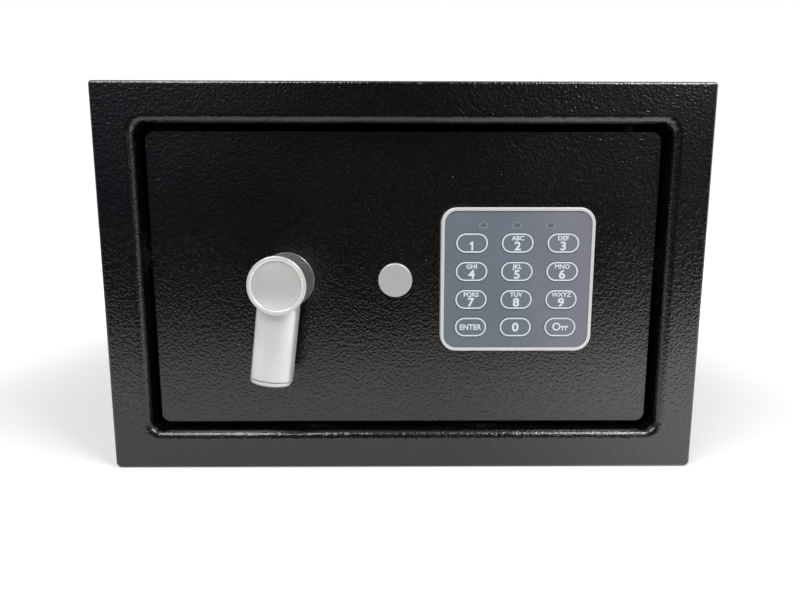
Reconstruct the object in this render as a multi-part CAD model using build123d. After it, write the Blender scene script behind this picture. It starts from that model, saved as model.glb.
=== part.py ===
"""Small steel office safe with a lever handle, an emergency lock and a keypad.

Millimetres. +X runs to the right of someone facing the door, +Y into the safe and +Z up.
The origin is the centre of the cabinet's bottom face. The safe is drawn shut but unlocked:
bolts drawn, plunger drawn and lever down.
"""
from build123d import *
from math import asin, cos, degrees, sqrt
import os

# Cabinet
WIDTH = 310.0
HEIGHT = 200.0
DEPTH = 200.0
SHEET = 1.5
FLOOR_BEND_R = 3.0
TOP_CORNER_R = 2.0
BORDER = 20.0
FRAME_FOLD = 2.5
FRAME_EDGE_R = 1.9
LIP_R = 4.0
OPENING_CORNER_R = 5.5
ANCHOR_R = 5.0
ANCHOR_SPACING = 150.0
MAT_THICKNESS = 2.5
MAT_GAP = 2.0
MAT_CUTOUT = 2.0
STOP_WIDTH = 20.0
STOP_THICKNESS = 2.0
STOP_OVERLAP = 4.0
STOP_FROM_CORNER = 2.0
PAD_CLEARANCE = 0.3
PAD_INSET = 1.0
PAD_EDGE = 0.5

# Door and its hinge
DOOR_RECESS = 7.5
DOOR_GAP = 3.0
DOOR_THICKNESS = 3.0
DOOR_CORNER_R = 5.0
DOOR_EDGE_R = 0.8
HINGE_INSET = 15.0
SWING_CLEARANCE = 1.0
PIN_R = 3.0
PIN_RUNNING = 0.05
PIN_TO_RETURN = 0.5
PIN_PROUD = 1.0
PIN_SHORTER = 4.0
PIN_CHAMFER = 0.4
HINGE_PLATE = 3.0
HINGE_PLATE_WIDTH = 26.0
HINGE_PLATE_MARGIN = 6.0
BRACKET_WIDTH = 13.0
BRACKET_WALL = 1.5
BRACKET_HEIGHT = 32.0
BRACKET_EDGE = 4.0
BRACKET_CHAMFER = 1.0

# Bolts and their carrier
BOLT_R = 8.0
BOLT_TRAVEL = 18.0
BOLT_LENGTH = 33.0
BOLT_INSET = 3.0
BOLT_SPREAD = 80.0
BOLT_BEHIND_FRAME = 2.5
BOLT_CHAMFER = 1.5
BOLT_SLIDING = 0.3
BOLT_NECK_R = 4.0
RIVET_LEDGE = 0.8
RIVET_HEAD = 1.5
GUIDE_PLATE = 3.0
GUIDE_FOOT = 12.0
GUIDE_FOOT_SHEET = 2.0
GUIDE_MARGIN = 5.0
GUIDE_STOP = 1.0
GUIDE_TO_CASE = 4.0
CARRIER_PLATE = 3.0
CARRIER_ARM = 20.0
CARRIER_WEB = 12.0
CARRIER_OVERHANG = 10.0
CARRIER_EDGE = 5.5
CARRIER_MARGIN = 0.5
LUG_WIDTH = 10.0
LUG_DROP = 6.0
LUG_SHOULDER = 2.0

# Handle
HANDLE_INSET = 70.5
HANDLE_RISE = 1.0
HUB_R = 14.3
HUB_REACH = 28.0
HUB_EDGE_R = 0.7
HUB_POCKET_EDGE_R = 0.5
HUB_FACE = 4.0
HUB_TO_ROSETTE = 0.3
INSERT_R = 11.9
INSERT_THICKNESS = 2.0
INSERT_DOME = 0.3
INSERT_RECESS = 0.25
INSERT_GROOVE = 0.1
INSERT_EDGE_R = 0.2
ROSETTE_R = 14.4
ROSETTE_THICKNESS = 2.0
ROSETTE_EDGE_R = 0.5
ROSETTE_BORE_GAP = 0.5
LEVER_WIDTH = 20.3
LEVER_LENGTH = 51.2
LEVER_STANDOFF = 13.0
LEVER_SIDE = 8.0
LEVER_CROWN = 4.8
LEVER_TILT = 6.9
LEVER_CAP = 2.2
CAP_RIM = 0.2
LEVER_SHOULDER_R = 4.0
LEVER_EDGE_R = 2.0
SEAM_WIDTH = 0.8
SEAM_DEPTH = 1.2
SEAM_FROM_CROWN = 1.9
SPINDLE_R = 4.0
SPINDLE_RUNNING = 0.05
BUSH_WALL = 2.0
BUSH_FLANGE = 1.5
BUSH_FLANGE_WIDTH = 5.0
CRANK_RADIUS = 16.0
CRANK_THICKNESS = 4.0
CRANK_STANDOFF = 5.0
CRANK_PIN_R = 3.0
CRANK_PIN_ROOM = 0.7
CRANK_PIN_BOSS = 2.0
CRANK_PIN_PROUD = 1.0
CRANK_WIDTH = 9.0
CRANK_BOSS = 4.0
CRANK_SCREW_R = 1.5
CRANK_SCREW_LENGTH = 7.0
CRANK_SCREW_TIP_ROOM = 1.0
CRANK_SCREW_HEAD = 2.0
CRANK_SCREW_LEDGE = 1.0
CRANK_SCREW_EDGE_R = 0.6
CLIP_THICKNESS = 1.0
CLIP_WIDTH = 3.0
CLIP_GAP = 0.3

# Emergency lock and its cap
LOCK_SHARE = 0.7068
CAP_R = 8.9
CAP_REACH = 3.0
CAP_EDGE_R = 0.9
CAP_TO_BARREL = 0.3
BARREL_R = 6.0
BARREL_FLANGE = 1.0
BARREL_LEDGE = 1.4
LOCK_NUT_FLATS = 17.0
LOCK_NUT_HEIGHT = 3.0
PLUG_R = 4.0
PLUG_RUNNING = 0.05
PLUG_SUNK = 0.2
PLUG_PROUD = 0.3
KEYWAY_WIDTH = 1.2
KEYWAY_HEIGHT = 5.6
KEYWAY_END = 4.0
CAM_LENGTH = 16.0
CAM_WIDTH = 7.0
CAM_THICKNESS = 2.0
CAM_CORNER_R = 0.8
CAM_BOSS_R = 5.5
CAM_BORE_R = 2.5
CAM_TO_CARRIER = 0.6

# Solenoid
PLUNGER_R = 3.0
PLUNGER_REACH = 5.0
PLUNGER_TO_LUG = 1.5
PLUNGER_FROM_SPINDLE = 9.5
PLUNGER_SEAT = 2.0
PLUNGER_SEAT_GAP = 0.5
PLUNGER_CHAMFER = 0.4
COLLAR_THICKNESS = 1.2
COLLAR_LEDGE = 2.2
COLLAR_CLEARANCE = 0.5
LUG_CLEARANCE = 1.0
COIL_R = 8.5
COIL_CHEEK = 1.2
COIL_WINDING_STEP = 1.0
COIL_TO_JAW_EDGE = 2.0
COIL_TO_CASE = 2.0
SOLENOID_BORE_GAP = 0.3
SOLENOID_SHEET = 1.5
SPRING_LENGTH = 5.8
SPRING_WIRE_R = 0.35
SPRING_SEAT_GAP = 0.02
SPRING_TURNS = 5

# Keypad
KEYPAD_WIDTH = 79.0
KEYPAD_HEIGHT = 74.6
KEYPAD_INSET = 34.0
KEYPAD_RISE = 1.4
KEYPAD_REACH = 6.0
KEYPAD_CORNER_R = 8.3
BEZEL_RIM = 1.7
BEZEL_SHELF = 1.5
BEZEL_EDGE_R = 0.5
OVERLAY_RECESS = 0.4
OVERLAY_THICKNESS = 1.1
KEY_WIDTH = 16.8
KEY_HEIGHT = 10.4
KEY_PITCH_X = 23.45
KEY_PITCH_Z = 14.6
KEY_ROW_DROP = 2.7
KEY_SHIFT = -0.25
KEY_PROUD = 0.3
KEY_GAP = 0.25
KEY_EDGE_R = 0.25
KEY_FLANGE = 0.8
KEY_FLANGE_THICKNESS = 0.4
KEY_FLANGE_GAP = 0.1
KEY_TRAVEL = 0.4
KEY_SWITCH = 4.5
KEY_SWITCH_HEIGHT = 0.8
SWITCH_GAP = 0.1
LIGHT_R = 1.75
LIGHT_SPACING = 17.25
LIGHT_RISE = 28.4
LIGHT_SHIFT = -0.85
LIGHT_BEHIND = 0.6
BOARD_THICKNESS = 1.2
BOARD_GAP = 0.3
BOSS_R = 3.0
BOSS_INSET = 4.6
BOSS_ROOM = 0.4
SCREW_R = 1.25
SCREW_ROOM = 0.45
SCREW_TIP_ROOM = 0.5
SCREW_HEAD_R = 3.0
SCREW_HEAD = 2.0

# Lock case, electronics and battery
CASE_SHEET = 1.2
CASE_MARGIN = 11.0
CASE_EAR = 14.0
CASE_ROOM = 4.8
CASE_TO_BRACKET = 5.5
CASE_CORNER_R = 4.0
CASE_EDGE_R = 2.5
CASE_EAR_TO_EDGE = 2.0
EAR_FROM_LEFT = 37.0
EAR_FROM_RIGHT = 20.0
CASE_BOLT_ROOM = 1.0
STUD_R = 2.0
STUD_REACH = 5.0
STUD_ROOM = 0.2
NUT_FLATS = 7.0
NUT_HEIGHT = 3.2
CELL_R = 7.1
CELL_LENGTH = 50.5
CELL_BUTTON = 1.3
CELL_BUTTON_R = 2.7
CELL_END_ROOM = 2.5
CELL_TO_LID = 2.5
CELL_TO_FLOOR = 0.1
CELL_COUNT = 4
CELL_PITCH = 15.0
CONTACT_SHEET = 0.5
CONTACT_REACH = 5.0
CONTACT_BOSS_R = 2.2
BOX_WALL = 2.0
BOX_CORNER_R = 2.0
BATTERY_INSET = 11.8
BATTERY_DROP = 3.0
LID_GAP = 0.3
LID_SHEET = 1.2
NOTCH_RISE = 12.0
NOTCH_WIDTH = 16.0
NOTCH_HEIGHT = 3.0
NOTCH_DEPTH = 0.6
CONTROL_STANDOFF = 7.5
CONTROL_THICKNESS = 1.6
CONTROL_LEFT_EDGE = 1.0
CONTROL_RIGHT_EDGE = 3.0
CONTROL_RISE = 4.0
CONTROL_TO_BATTERY = 6.0
POST_R = 3.0
POST_INSET = 4.0
POST_RISE = 15.0
BUZZER_R = 6.0
BUZZER_HEIGHT = 7.0
BUZZER_X = -18.0
CHIP_X = 2.0
CHIP_WIDTH = 12.0
CHIP_HEIGHT = 8.0
CHIP_THICKNESS = 2.0
PLUG_BLOCK_X = 20.0
PLUG_BLOCK_Z = 7.0
PLUG_BLOCK_WIDTH = 12.0
PLUG_BLOCK_HEIGHT = 6.0
PLUG_BLOCK_THICKNESS = 6.0
RESET_R = 3.0
RESET_TRAVEL = 0.5
RESET_ROOM = 0.3
RESET_PROUD = 1.5
RESET_EDGE_R = 0.8
RESET_FROM_SIDE = 7.0
RESET_RISE = 5.0
RESET_SWITCH = 6.0
RESET_SWITCH_HEIGHT = 3.0
RIBBON_WIDTH = 12.0
RIBBON_THICKNESS = 0.8
RIBBON_RISE = 11.0
RIBBON_ROOM = 2.0
RIBBON_SLOT_R = 1.5

# How far a cutting solid runs past what it cuts, and the room round a part that sits in a hole
CUT = 1.0
FITTED = 0.1

# Levels along Y, from the front plane inwards
front_y = -DEPTH / 2
back_y = DEPTH / 2
border_back_y = front_y + SHEET
fold_back_y = front_y + FRAME_FOLD
door_face_y = front_y + DOOR_RECESS
door_back_y = door_face_y + DOOR_THICKNESS
swing_r = HINGE_INSET + DOOR_GAP - SWING_CLEARANCE
hinge_y = door_face_y + sqrt(swing_r**2 - HINGE_INSET**2)
return_end_y = hinge_y - PIN_R - PIN_TO_RETURN
bolt_y = return_end_y + BOLT_BEHIND_FRAME + BOLT_R
carrier_back_y = bolt_y + BOLT_R
carrier_plate_y = carrier_back_y - CARRIER_PLATE
plunger_y = carrier_back_y - CARRIER_PLATE / 2
case_inner_y = plunger_y + COIL_R + CASE_ROOM
case_back_y = case_inner_y + CASE_SHEET
crank_front_y = door_back_y + CRANK_STANDOFF
crank_back_y = crank_front_y + CRANK_THICKNESS

# Heights
middle_z = HEIGHT / 2
opening_height = HEIGHT - 2 * BORDER
door_height = opening_height - 2 * DOOR_GAP
handle_z = middle_z + HANDLE_RISE
keypad_z = middle_z + KEYPAD_RISE
case_height = door_height - 2 * CASE_MARGIN
case_floor_z = middle_z - case_height / 2 + CASE_SHEET
case_ceiling_z = middle_z + case_height / 2 - CASE_SHEET

# Places along X
opening_width = WIDTH - 2 * BORDER
door_width = opening_width - 2 * DOOR_GAP
hinge_x = door_width / 2 - HINGE_INSET
handle_x = -door_width / 2 + HANDLE_INSET
keypad_x = door_width / 2 - KEYPAD_INSET - KEYPAD_WIDTH / 2
lock_x = handle_x + LOCK_SHARE * (keypad_x - KEYPAD_WIDTH / 2 - handle_x)
bolt_tip_x = -door_width / 2 + BOLT_INSET
carrier_x = bolt_tip_x + BOLT_LENGTH
guide_x = carrier_x - BOLT_TRAVEL - GUIDE_STOP - GUIDE_PLATE
case_left_x = guide_x - GUIDE_TO_CASE
case_right_x = hinge_x - BRACKET_WIDTH / 2 - CASE_TO_BRACKET

# The crank pin swings from one side of the spindle's plumb line to the other
crank_half_turn = asin(BOLT_TRAVEL / 2 / CRANK_RADIUS)
crank_pin_x = handle_x + BOLT_TRAVEL / 2
crank_pin_z = handle_z - CRANK_RADIUS * cos(crank_half_turn)
arm_bottom_z = handle_z - CRANK_RADIUS - CRANK_PIN_R - CARRIER_EDGE
plunger_x = handle_x + PLUNGER_FROM_SPINDLE
lug_x = plunger_x + PLUNGER_R + LUG_CLEARANCE
lug_bottom_z = arm_bottom_z - LUG_DROP
plunger_top_z = lug_bottom_z - PLUNGER_TO_LUG
collar_z = lug_bottom_z - COLLAR_CLEARANCE - PLUNGER_REACH - COLLAR_THICKNESS
solenoid_top_z = collar_z - SPRING_LENGTH

SIDES = (-1, 1)


def block(x, y, z):
    """A box from (low, high) pairs along X, Y and Z."""
    size = [pair[1] - pair[0] for pair in (x, y, z)]
    centre = [(pair[1] + pair[0]) / 2 for pair in (x, y, z)]
    return Pos(*centre) * Box(*size)


def slab(outline, y_front, y_back):
    """An outline drawn as seen from the front, given its thickness along Y."""
    return extrude(Plane.XZ.offset(-y_back) * outline, amount=y_back - y_front)


def disc(x, z, radius, y_front, y_back):
    """A cylinder along Y."""
    return slab(Pos(x, z) * Circle(radius), y_front, y_back)


def post(x, y, radius, z_low, z_high):
    """A cylinder along Z."""
    return Pos(x, y, z_low) * extrude(Circle(radius), amount=z_high - z_low)


def bar(y, z, radius, x_low, x_high):
    """A cylinder along X."""
    return Pos(x_low, y, z) * extrude(Plane.YZ * Circle(radius), amount=x_high - x_low)


def rectangle(x, z, width, height, radius=0.0):
    """A rectangle seen from the front, with round corners if radius isn't zero."""
    if radius > 0:
        return Pos(x, z) * RectangleRounded(width, height, radius)
    return Pos(x, z) * Rectangle(width, height)


def hexagon(x, z, across_flats, y_front, y_back):
    """A hexagonal prism along Y."""
    shape = RegularPolygon(across_flats / 2, 6, major_radius=False)
    return slab(Pos(x, z) * shape, y_front, y_back)


def rim(solid, y):
    """The edges of a solid that lie wholly in the plane at y."""
    edges = solid.edges().filter_by_position(Axis.Y, y - 0.001, y + 0.001)
    return [edge for edge in edges if abs(edge.bounding_box().size.Y) < 0.001]


def inner_rim(solid, y, width, height):
    """The edges in the plane at y that lie inside a width by height window of the door."""
    def inside(edge):
        centre = edge.center()
        return abs(centre.X) < width / 2 + CUT and abs(centre.Z - middle_z) < height / 2 + CUT

    return [edge for edge in rim(solid, y) if inside(edge)]


def cabinet_outline(shrink=0.0):
    """The cabinet seen from the front, smaller all round by shrink: wider bends below than above."""
    outline = rectangle(0, middle_z, WIDTH - 2 * shrink, HEIGHT - 2 * shrink)
    lower = outline.vertices().sort_by(Axis.Y)[:2]
    outline = fillet(lower, FLOOR_BEND_R - shrink)
    upper = outline.vertices().sort_by(Axis.Y)[-2:]
    return fillet(upper, TOP_CORNER_R - shrink)


def opening(grow):
    """The door opening's outline, moved outwards by grow."""
    width = opening_width + 2 * grow
    height = opening_height + 2 * grow
    return rectangle(0, middle_z, width, height, OPENING_CORNER_R + grow)


def front_frame():
    """Folded edge, border, rolled lip and return, as one sheet of even thickness."""
    solid = slab(cabinet_outline(), front_y, return_end_y)
    solid = fillet(rim(solid, front_y), FRAME_EDGE_R)
    outside = solid - slab(opening(0), front_y - CUT, return_end_y + CUT)
    lip = inner_rim(outside, front_y, opening_width, opening_height)
    outside = fillet(lip, LIP_R)
    hollow = slab(cabinet_outline(SHEET), border_back_y, return_end_y + CUT)
    hollow = fillet(rim(hollow, border_back_y), FRAME_EDGE_R - SHEET)
    hollow -= slab(opening(SHEET), border_back_y - CUT, return_end_y + 2 * CUT)
    bend = inner_rim(hollow, border_back_y, opening_width + 4 * SHEET, opening_height + 4 * SHEET)
    hollow = fillet(bend, LIP_R - SHEET)
    room = rectangle(0, middle_z, WIDTH + 2 * CUT, HEIGHT + 2 * CUT) - opening(SHEET)
    return outside - hollow - slab(room, fold_back_y, return_end_y + CUT)


def body_pan():
    """Floor and side walls folded from one sheet, with the floor's anchor holes."""
    inside = rectangle(0, middle_z, WIDTH - 2 * SHEET, HEIGHT)
    below = rectangle(0, SHEET / 2, WIDTH, SHEET)
    room = inside - below
    corners = room.vertices().sort_by(Axis.Y)[:2]
    room = fillet(corners, FLOOR_BEND_R - SHEET)
    above = rectangle(0, HEIGHT, WIDTH, 2 * SHEET)
    pan = slab(cabinet_outline() - room - above, fold_back_y, back_y - SHEET)
    for side in SIDES:
        pan -= post(side * ANCHOR_SPACING / 2, 0, ANCHOR_R, -CUT, SHEET + CUT)
    return pan


def top_panel():
    outline = cabinet_outline() & rectangle(0, HEIGHT - SHEET / 2, WIDTH, SHEET)
    return slab(outline, fold_back_y, back_y - SHEET)


def back_panel():
    panel = slab(cabinet_outline(), back_y - SHEET, back_y)
    for side in SIDES:
        panel -= disc(side * ANCHOR_SPACING / 2, middle_z, ANCHOR_R, back_y - 2 * SHEET, back_y + CUT)
    return panel


def hinge_plates():
    """A plate behind each return, with the running bore of a hinge pin."""
    plates = []
    half = HINGE_PLATE_WIDTH / 2
    y_low = border_back_y + LIP_R - SHEET
    y_high = hinge_y + PIN_R + HINGE_PLATE_MARGIN
    for side in SIDES:
        z_seat = middle_z + side * (opening_height / 2 + SHEET)
        z_pair = sorted((z_seat, z_seat + side * HINGE_PLATE))
        plate = block((hinge_x - half, hinge_x + half), (y_low, y_high), z_pair)
        bore = post(hinge_x, hinge_y, PIN_R + PIN_RUNNING, z_pair[0] - CUT, z_pair[1] + CUT)
        plates.append(plate - bore)
    return plates


def stop_x_pair():
    left = -opening_width / 2 + OPENING_CORNER_R + STOP_FROM_CORNER
    return (left, left + STOP_WIDTH)


def door_stops():
    """Tabs behind the top and bottom returns that the door's free side closes on."""
    tabs = []
    for side in SIDES:
        z_edge = middle_z + side * (door_height / 2 - STOP_OVERLAP)
        z_seat = middle_z + side * (opening_height / 2 + SHEET)
        y_pair = (return_end_y, return_end_y + STOP_THICKNESS)
        tabs.append(block(stop_x_pair(), y_pair, sorted((z_edge, z_seat))))
    return tabs


def stop_pads():
    """Rubber pads that face the door's back with a small clearance."""
    pads = []
    left, right = stop_x_pair()
    for side in SIDES:
        z_low = middle_z + side * (door_height / 2 - STOP_OVERLAP)
        z_high = middle_z + side * (door_height / 2 - PAD_EDGE)
        y_pair = (door_back_y + PAD_CLEARANCE, return_end_y)
        x_pair = (left + PAD_INSET, right - PAD_INSET)
        pads.append(block(x_pair, y_pair, sorted((z_low, z_high))))
    return pads


def floor_mat():
    """Felt mat on the floor, cut out round the anchor holes."""
    half = WIDTH / 2 - SHEET - MAT_GAP
    y_pair = (border_back_y + MAT_GAP, back_y - SHEET - MAT_GAP)
    top_z = SHEET + MAT_THICKNESS
    mat = block((-half, half), y_pair, (SHEET, top_z))
    for side in SIDES:
        mat -= post(side * ANCHOR_SPACING / 2, 0, ANCHOR_R + MAT_CUTOUT, 0, top_z + CUT)
    return mat


def keypad_corners():
    """Centres of the four screws that hold the keypad."""
    dx = KEYPAD_WIDTH / 2 - BEZEL_RIM - BOSS_INSET
    dz = KEYPAD_HEIGHT / 2 - BEZEL_RIM - BOSS_INSET
    return [(keypad_x + sx * dx, keypad_z + sz * dz) for sx in SIDES for sz in SIDES]


def ribbon_z():
    return keypad_z - KEYPAD_HEIGHT / 2 + RIBBON_RISE


def door_plate():
    """The door's plate with holes for the handle, the lock, the keypad's screws and ribbon."""
    plate = slab(rectangle(0, middle_z, door_width, door_height, DOOR_CORNER_R), door_face_y, door_back_y)
    plate = fillet(rim(plate, door_face_y), DOOR_EDGE_R)
    through = (door_face_y - CUT, door_back_y + CUT)
    plate -= disc(handle_x, handle_z, SPINDLE_R + BUSH_WALL + FITTED, *through)
    plate -= disc(lock_x, handle_z, BARREL_R + FITTED, *through)
    for x, z in keypad_corners():
        plate -= disc(x, z, SCREW_R + SCREW_ROOM, *through)
    slot_size = (RIBBON_WIDTH + 2 * RIBBON_ROOM, RIBBON_THICKNESS + 2 * RIBBON_ROOM)
    slot = rectangle(keypad_x, ribbon_z(), *slot_size, RIBBON_SLOT_R)
    return plate - slab(slot, *through)


def bracket_z_pair(side):
    outer = door_height / 2 - BRACKET_EDGE
    return sorted((middle_z + side * outer, middle_z + side * (outer - BRACKET_HEIGHT)))


def hinge_brackets():
    """Steel blocks on the door's back that carry the hinge pins."""
    blocks = []
    half = BRACKET_WIDTH / 2
    for side in SIDES:
        z_pair = bracket_z_pair(side)
        y_pair = (door_back_y, hinge_y + PIN_R + BRACKET_WALL)
        solid = block((hinge_x - half, hinge_x + half), y_pair, z_pair)
        solid = chamfer(rim(solid, y_pair[1]), BRACKET_CHAMFER)
        blocks.append(solid - post(hinge_x, hinge_y, PIN_R, z_pair[0] - CUT, z_pair[1] + CUT))
    return blocks


def hinge_pins():
    """Each pin is fixed in its bracket and runs in its hinge plate."""
    pins = []
    outer = opening_height / 2 + SHEET + HINGE_PLATE + PIN_PROUD
    inner = door_height / 2 - BRACKET_EDGE - BRACKET_HEIGHT + PIN_SHORTER
    for side in SIDES:
        z_low, z_high = sorted((middle_z + side * inner, middle_z + side * outer))
        pin = post(hinge_x, hinge_y, PIN_R, z_low, z_high)
        pins.append(chamfer(pin.edges().filter_by(GeomType.CIRCLE), PIN_CHAMFER))
    return pins


def bolt_heights():
    return [middle_z + side * BOLT_SPREAD / 2 for side in SIDES]


def bolt_guides():
    """An angle bracket round each bolt, its foot on the door."""
    guides = []
    y_high = bolt_y + BOLT_R + GUIDE_MARGIN
    for z in bolt_heights():
        z_pair = (z - BOLT_R - GUIDE_MARGIN, z + BOLT_R + GUIDE_MARGIN)
        wall = block((guide_x, guide_x + GUIDE_PLATE), (door_back_y, y_high), z_pair)
        foot_x = (guide_x, guide_x + GUIDE_PLATE + GUIDE_FOOT)
        foot = block(foot_x, (door_back_y, door_back_y + GUIDE_FOOT_SHEET), z_pair)
        bore = bar(bolt_y, z, BOLT_R + BOLT_SLIDING, guide_x - CUT, guide_x + GUIDE_PLATE + CUT)
        guides.append(wall + foot - bore)
    return guides


def ear_places():
    """Centres of the lock case's four ears, above and below its walls."""
    dz = case_height / 2 + (CASE_MARGIN - CASE_EAR_TO_EDGE) / 2
    x_left = case_left_x + EAR_FROM_LEFT
    x_right = case_right_x - EAR_FROM_RIGHT
    return [(x, middle_z + side * dz) for x in (x_left, x_right) for side in SIDES]


def battery_box_size():
    """Outer size of the battery box along X and Z."""
    length = CELL_LENGTH + 2 * CELL_END_ROOM + 2 * BOX_WALL
    height = CELL_COUNT * CELL_PITCH + 2 * BOX_WALL
    return length, height


def battery_centre():
    length, height = battery_box_size()
    x = case_right_x - CASE_SHEET - BATTERY_INSET - length / 2
    return x, case_ceiling_z - BATTERY_DROP - height / 2


def lid_outline(shrink):
    """The battery lid's outline, smaller all round by shrink."""
    length, height = battery_box_size()
    x, z = battery_centre()
    width = length - 2 * BOX_WALL - 2 * shrink
    return rectangle(x, z, width, height - 2 * BOX_WALL - 2 * shrink, BOX_CORNER_R)


def lock_case():
    """The door's inner cover: a pan with its mouth on the door, and four ears."""
    x_mid = (case_left_x + case_right_x) / 2
    width = case_right_x - case_left_x
    outline = rectangle(x_mid, middle_z, width, case_height, CASE_CORNER_R)
    case = slab(outline, door_back_y, case_back_y)
    case = fillet(rim(case, case_back_y), CASE_EDGE_R)
    inside = (width - 2 * CASE_SHEET, case_height - 2 * CASE_SHEET, CASE_CORNER_R - CASE_SHEET)
    hollow = slab(rectangle(x_mid, middle_z, *inside), door_back_y - CUT, case_inner_y)
    case -= fillet(rim(hollow, case_inner_y), CASE_EDGE_R - CASE_SHEET)
    for x, z in ear_places():
        side = 1 if z > middle_z else -1
        z_root = middle_z + side * (case_height / 2 - CASE_SHEET)
        z_tip = middle_z + side * (case_height / 2 + CASE_MARGIN - CASE_EAR_TO_EDGE)
        y_pair = (door_back_y, door_back_y + CASE_SHEET)
        case += block((x - CASE_EAR / 2, x + CASE_EAR / 2), y_pair, sorted((z_root, z_tip)))
        case -= disc(x, z, STUD_R + STUD_ROOM, door_back_y - CUT, door_back_y + CASE_SHEET + CUT)
    for z in bolt_heights():
        bore_r = BOLT_R + CASE_BOLT_ROOM
        case -= bar(bolt_y, z, bore_r, case_left_x - CUT, case_left_x + CASE_SHEET + CUT)
    case -= slab(lid_outline(0), case_inner_y - CUT, case_back_y + CUT)
    x, z = reset_place()
    return case - disc(x, z, RESET_R + RESET_ROOM, case_inner_y - CUT, case_back_y + CUT)


def case_nuts():
    """Weld studs with nuts that clamp the lock case's ears."""
    nuts = []
    y_seat = door_back_y + CASE_SHEET
    for x, z in ear_places():
        stud = disc(x, z, STUD_R, door_back_y, y_seat + STUD_REACH)
        nuts.append(stud + hexagon(x, z, NUT_FLATS, y_seat, y_seat + NUT_HEIGHT))
    return nuts


def keypad_outline(shrink):
    """The keypad's outline, smaller all round by shrink."""
    width = KEYPAD_WIDTH - 2 * shrink
    height = KEYPAD_HEIGHT - 2 * shrink
    return rectangle(keypad_x, keypad_z, width, height, KEYPAD_CORNER_R - shrink)


bezel_front_y = door_face_y - KEYPAD_REACH
overlay_front_y = bezel_front_y + OVERLAY_RECESS
overlay_back_y = overlay_front_y + OVERLAY_THICKNESS
flange_front_y = overlay_back_y + KEY_FLANGE_GAP
key_back_y = flange_front_y + KEY_FLANGE_THICKNESS
switch_top_y = key_back_y + KEY_TRAVEL + SWITCH_GAP
board_front_y = switch_top_y + KEY_SWITCH_HEIGHT


def keypad_bezel():
    """Silver frame: an open front rebate, a shelf, and a pocket behind for the board."""
    bezel = slab(keypad_outline(0), bezel_front_y, door_face_y)
    bezel = fillet(rim(bezel, bezel_front_y), BEZEL_EDGE_R)
    bezel -= slab(keypad_outline(BEZEL_RIM), bezel_front_y - CUT, overlay_back_y)
    bezel -= slab(keypad_outline(BEZEL_RIM + BEZEL_SHELF), bezel_front_y - CUT, door_face_y + CUT)
    bezel -= slab(keypad_outline(BEZEL_RIM), board_front_y, door_face_y + CUT)
    for x, z in keypad_corners():
        bezel += disc(x, z, BOSS_R, overlay_back_y, door_face_y)
        bezel -= disc(x, z, SCREW_R, board_front_y - SCREW_TIP_ROOM, door_face_y + CUT)
    return bezel


def key_places():
    """Centres of the keys, from the top row down and from left to right."""
    for row in range(4):
        for column in range(3):
            x = keypad_x + KEY_SHIFT + (column - 1) * KEY_PITCH_X
            z = keypad_z - KEY_ROW_DROP + (1.5 - row) * KEY_PITCH_Z
            yield x, z


def key_outline(x, z, grow=0.0):
    return Pos(x, z) * SlotOverall(KEY_WIDTH + 2 * grow, KEY_HEIGHT + 2 * grow)


def light_places():
    z = keypad_z + LIGHT_RISE
    return [(keypad_x + LIGHT_SHIFT + step * LIGHT_SPACING, z) for step in (-1, 0, 1)]


def keypad_overlay():
    """The grey panel, pierced for the keys and the status lights."""
    panel = slab(keypad_outline(BEZEL_RIM), overlay_front_y, overlay_back_y)
    through = (overlay_front_y - CUT, overlay_back_y + CUT)
    for x, z in key_places():
        panel -= slab(key_outline(x, z), *through)
    for x, z in light_places():
        panel -= disc(x, z, LIGHT_R, *through)
    return panel


def status_lights():
    y_pair = (overlay_front_y, overlay_back_y + LIGHT_BEHIND)
    return [disc(x, z, LIGHT_R, *y_pair) for x, z in light_places()]


def key(x, z):
    """A key pad with a flange that stays behind the overlay."""
    pad = slab(key_outline(x, z, -KEY_GAP), overlay_front_y - KEY_PROUD, key_back_y)
    pad = fillet(rim(pad, overlay_front_y - KEY_PROUD), KEY_EDGE_R)
    flange = slab(key_outline(x, z, KEY_FLANGE), flange_front_y, key_back_y)
    return pad + flange


def keypad_board():
    """Circuit board behind the keys, with a switch under each one."""
    outline = keypad_outline(BEZEL_RIM + BOARD_GAP)
    for x, z in keypad_corners():
        outline -= Pos(x, z) * Circle(BOSS_R + BOSS_ROOM)
    board_back_y = board_front_y + BOARD_THICKNESS
    board = slab(outline, board_front_y, board_back_y)
    for x, z in key_places():
        board += slab(rectangle(x, z, KEY_SWITCH, KEY_SWITCH), switch_top_y, board_back_y)
    return board


def keypad_screws():
    """Screws from behind the door into the bezel's bosses."""
    screws = []
    for x, z in keypad_corners():
        head = disc(x, z, SCREW_HEAD_R, door_back_y, door_back_y + SCREW_HEAD)
        screws.append(head + disc(x, z, SCREW_R, board_front_y, door_back_y + SCREW_HEAD / 2))
    return screws


control_front_y = door_back_y + CONTROL_STANDOFF
control_back_y = control_front_y + CONTROL_THICKNESS
control_x_pair = (
    keypad_x - KEYPAD_WIDTH / 2 + CONTROL_LEFT_EDGE,
    keypad_x + KEYPAD_WIDTH / 2 - CONTROL_RIGHT_EDGE,
)
control_z_pair = (
    case_floor_z + CONTROL_RISE,
    battery_centre()[1] - battery_box_size()[1] / 2 - CONTROL_TO_BATTERY,
)
control_x = sum(control_x_pair) / 2
control_z = sum(control_z_pair) / 2


def ribbon_cable():
    """Flat cable from the keypad's board, through the door, to the control board."""
    x_pair = (keypad_x - RIBBON_WIDTH / 2, keypad_x + RIBBON_WIDTH / 2)
    z_pair = (ribbon_z() - RIBBON_THICKNESS / 2, ribbon_z() + RIBBON_THICKNESS / 2)
    return block(x_pair, (board_front_y + BOARD_THICKNESS, control_front_y), z_pair)


def reset_place():
    return control_x_pair[1] - RESET_FROM_SIDE, control_z_pair[0] + RESET_RISE


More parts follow.
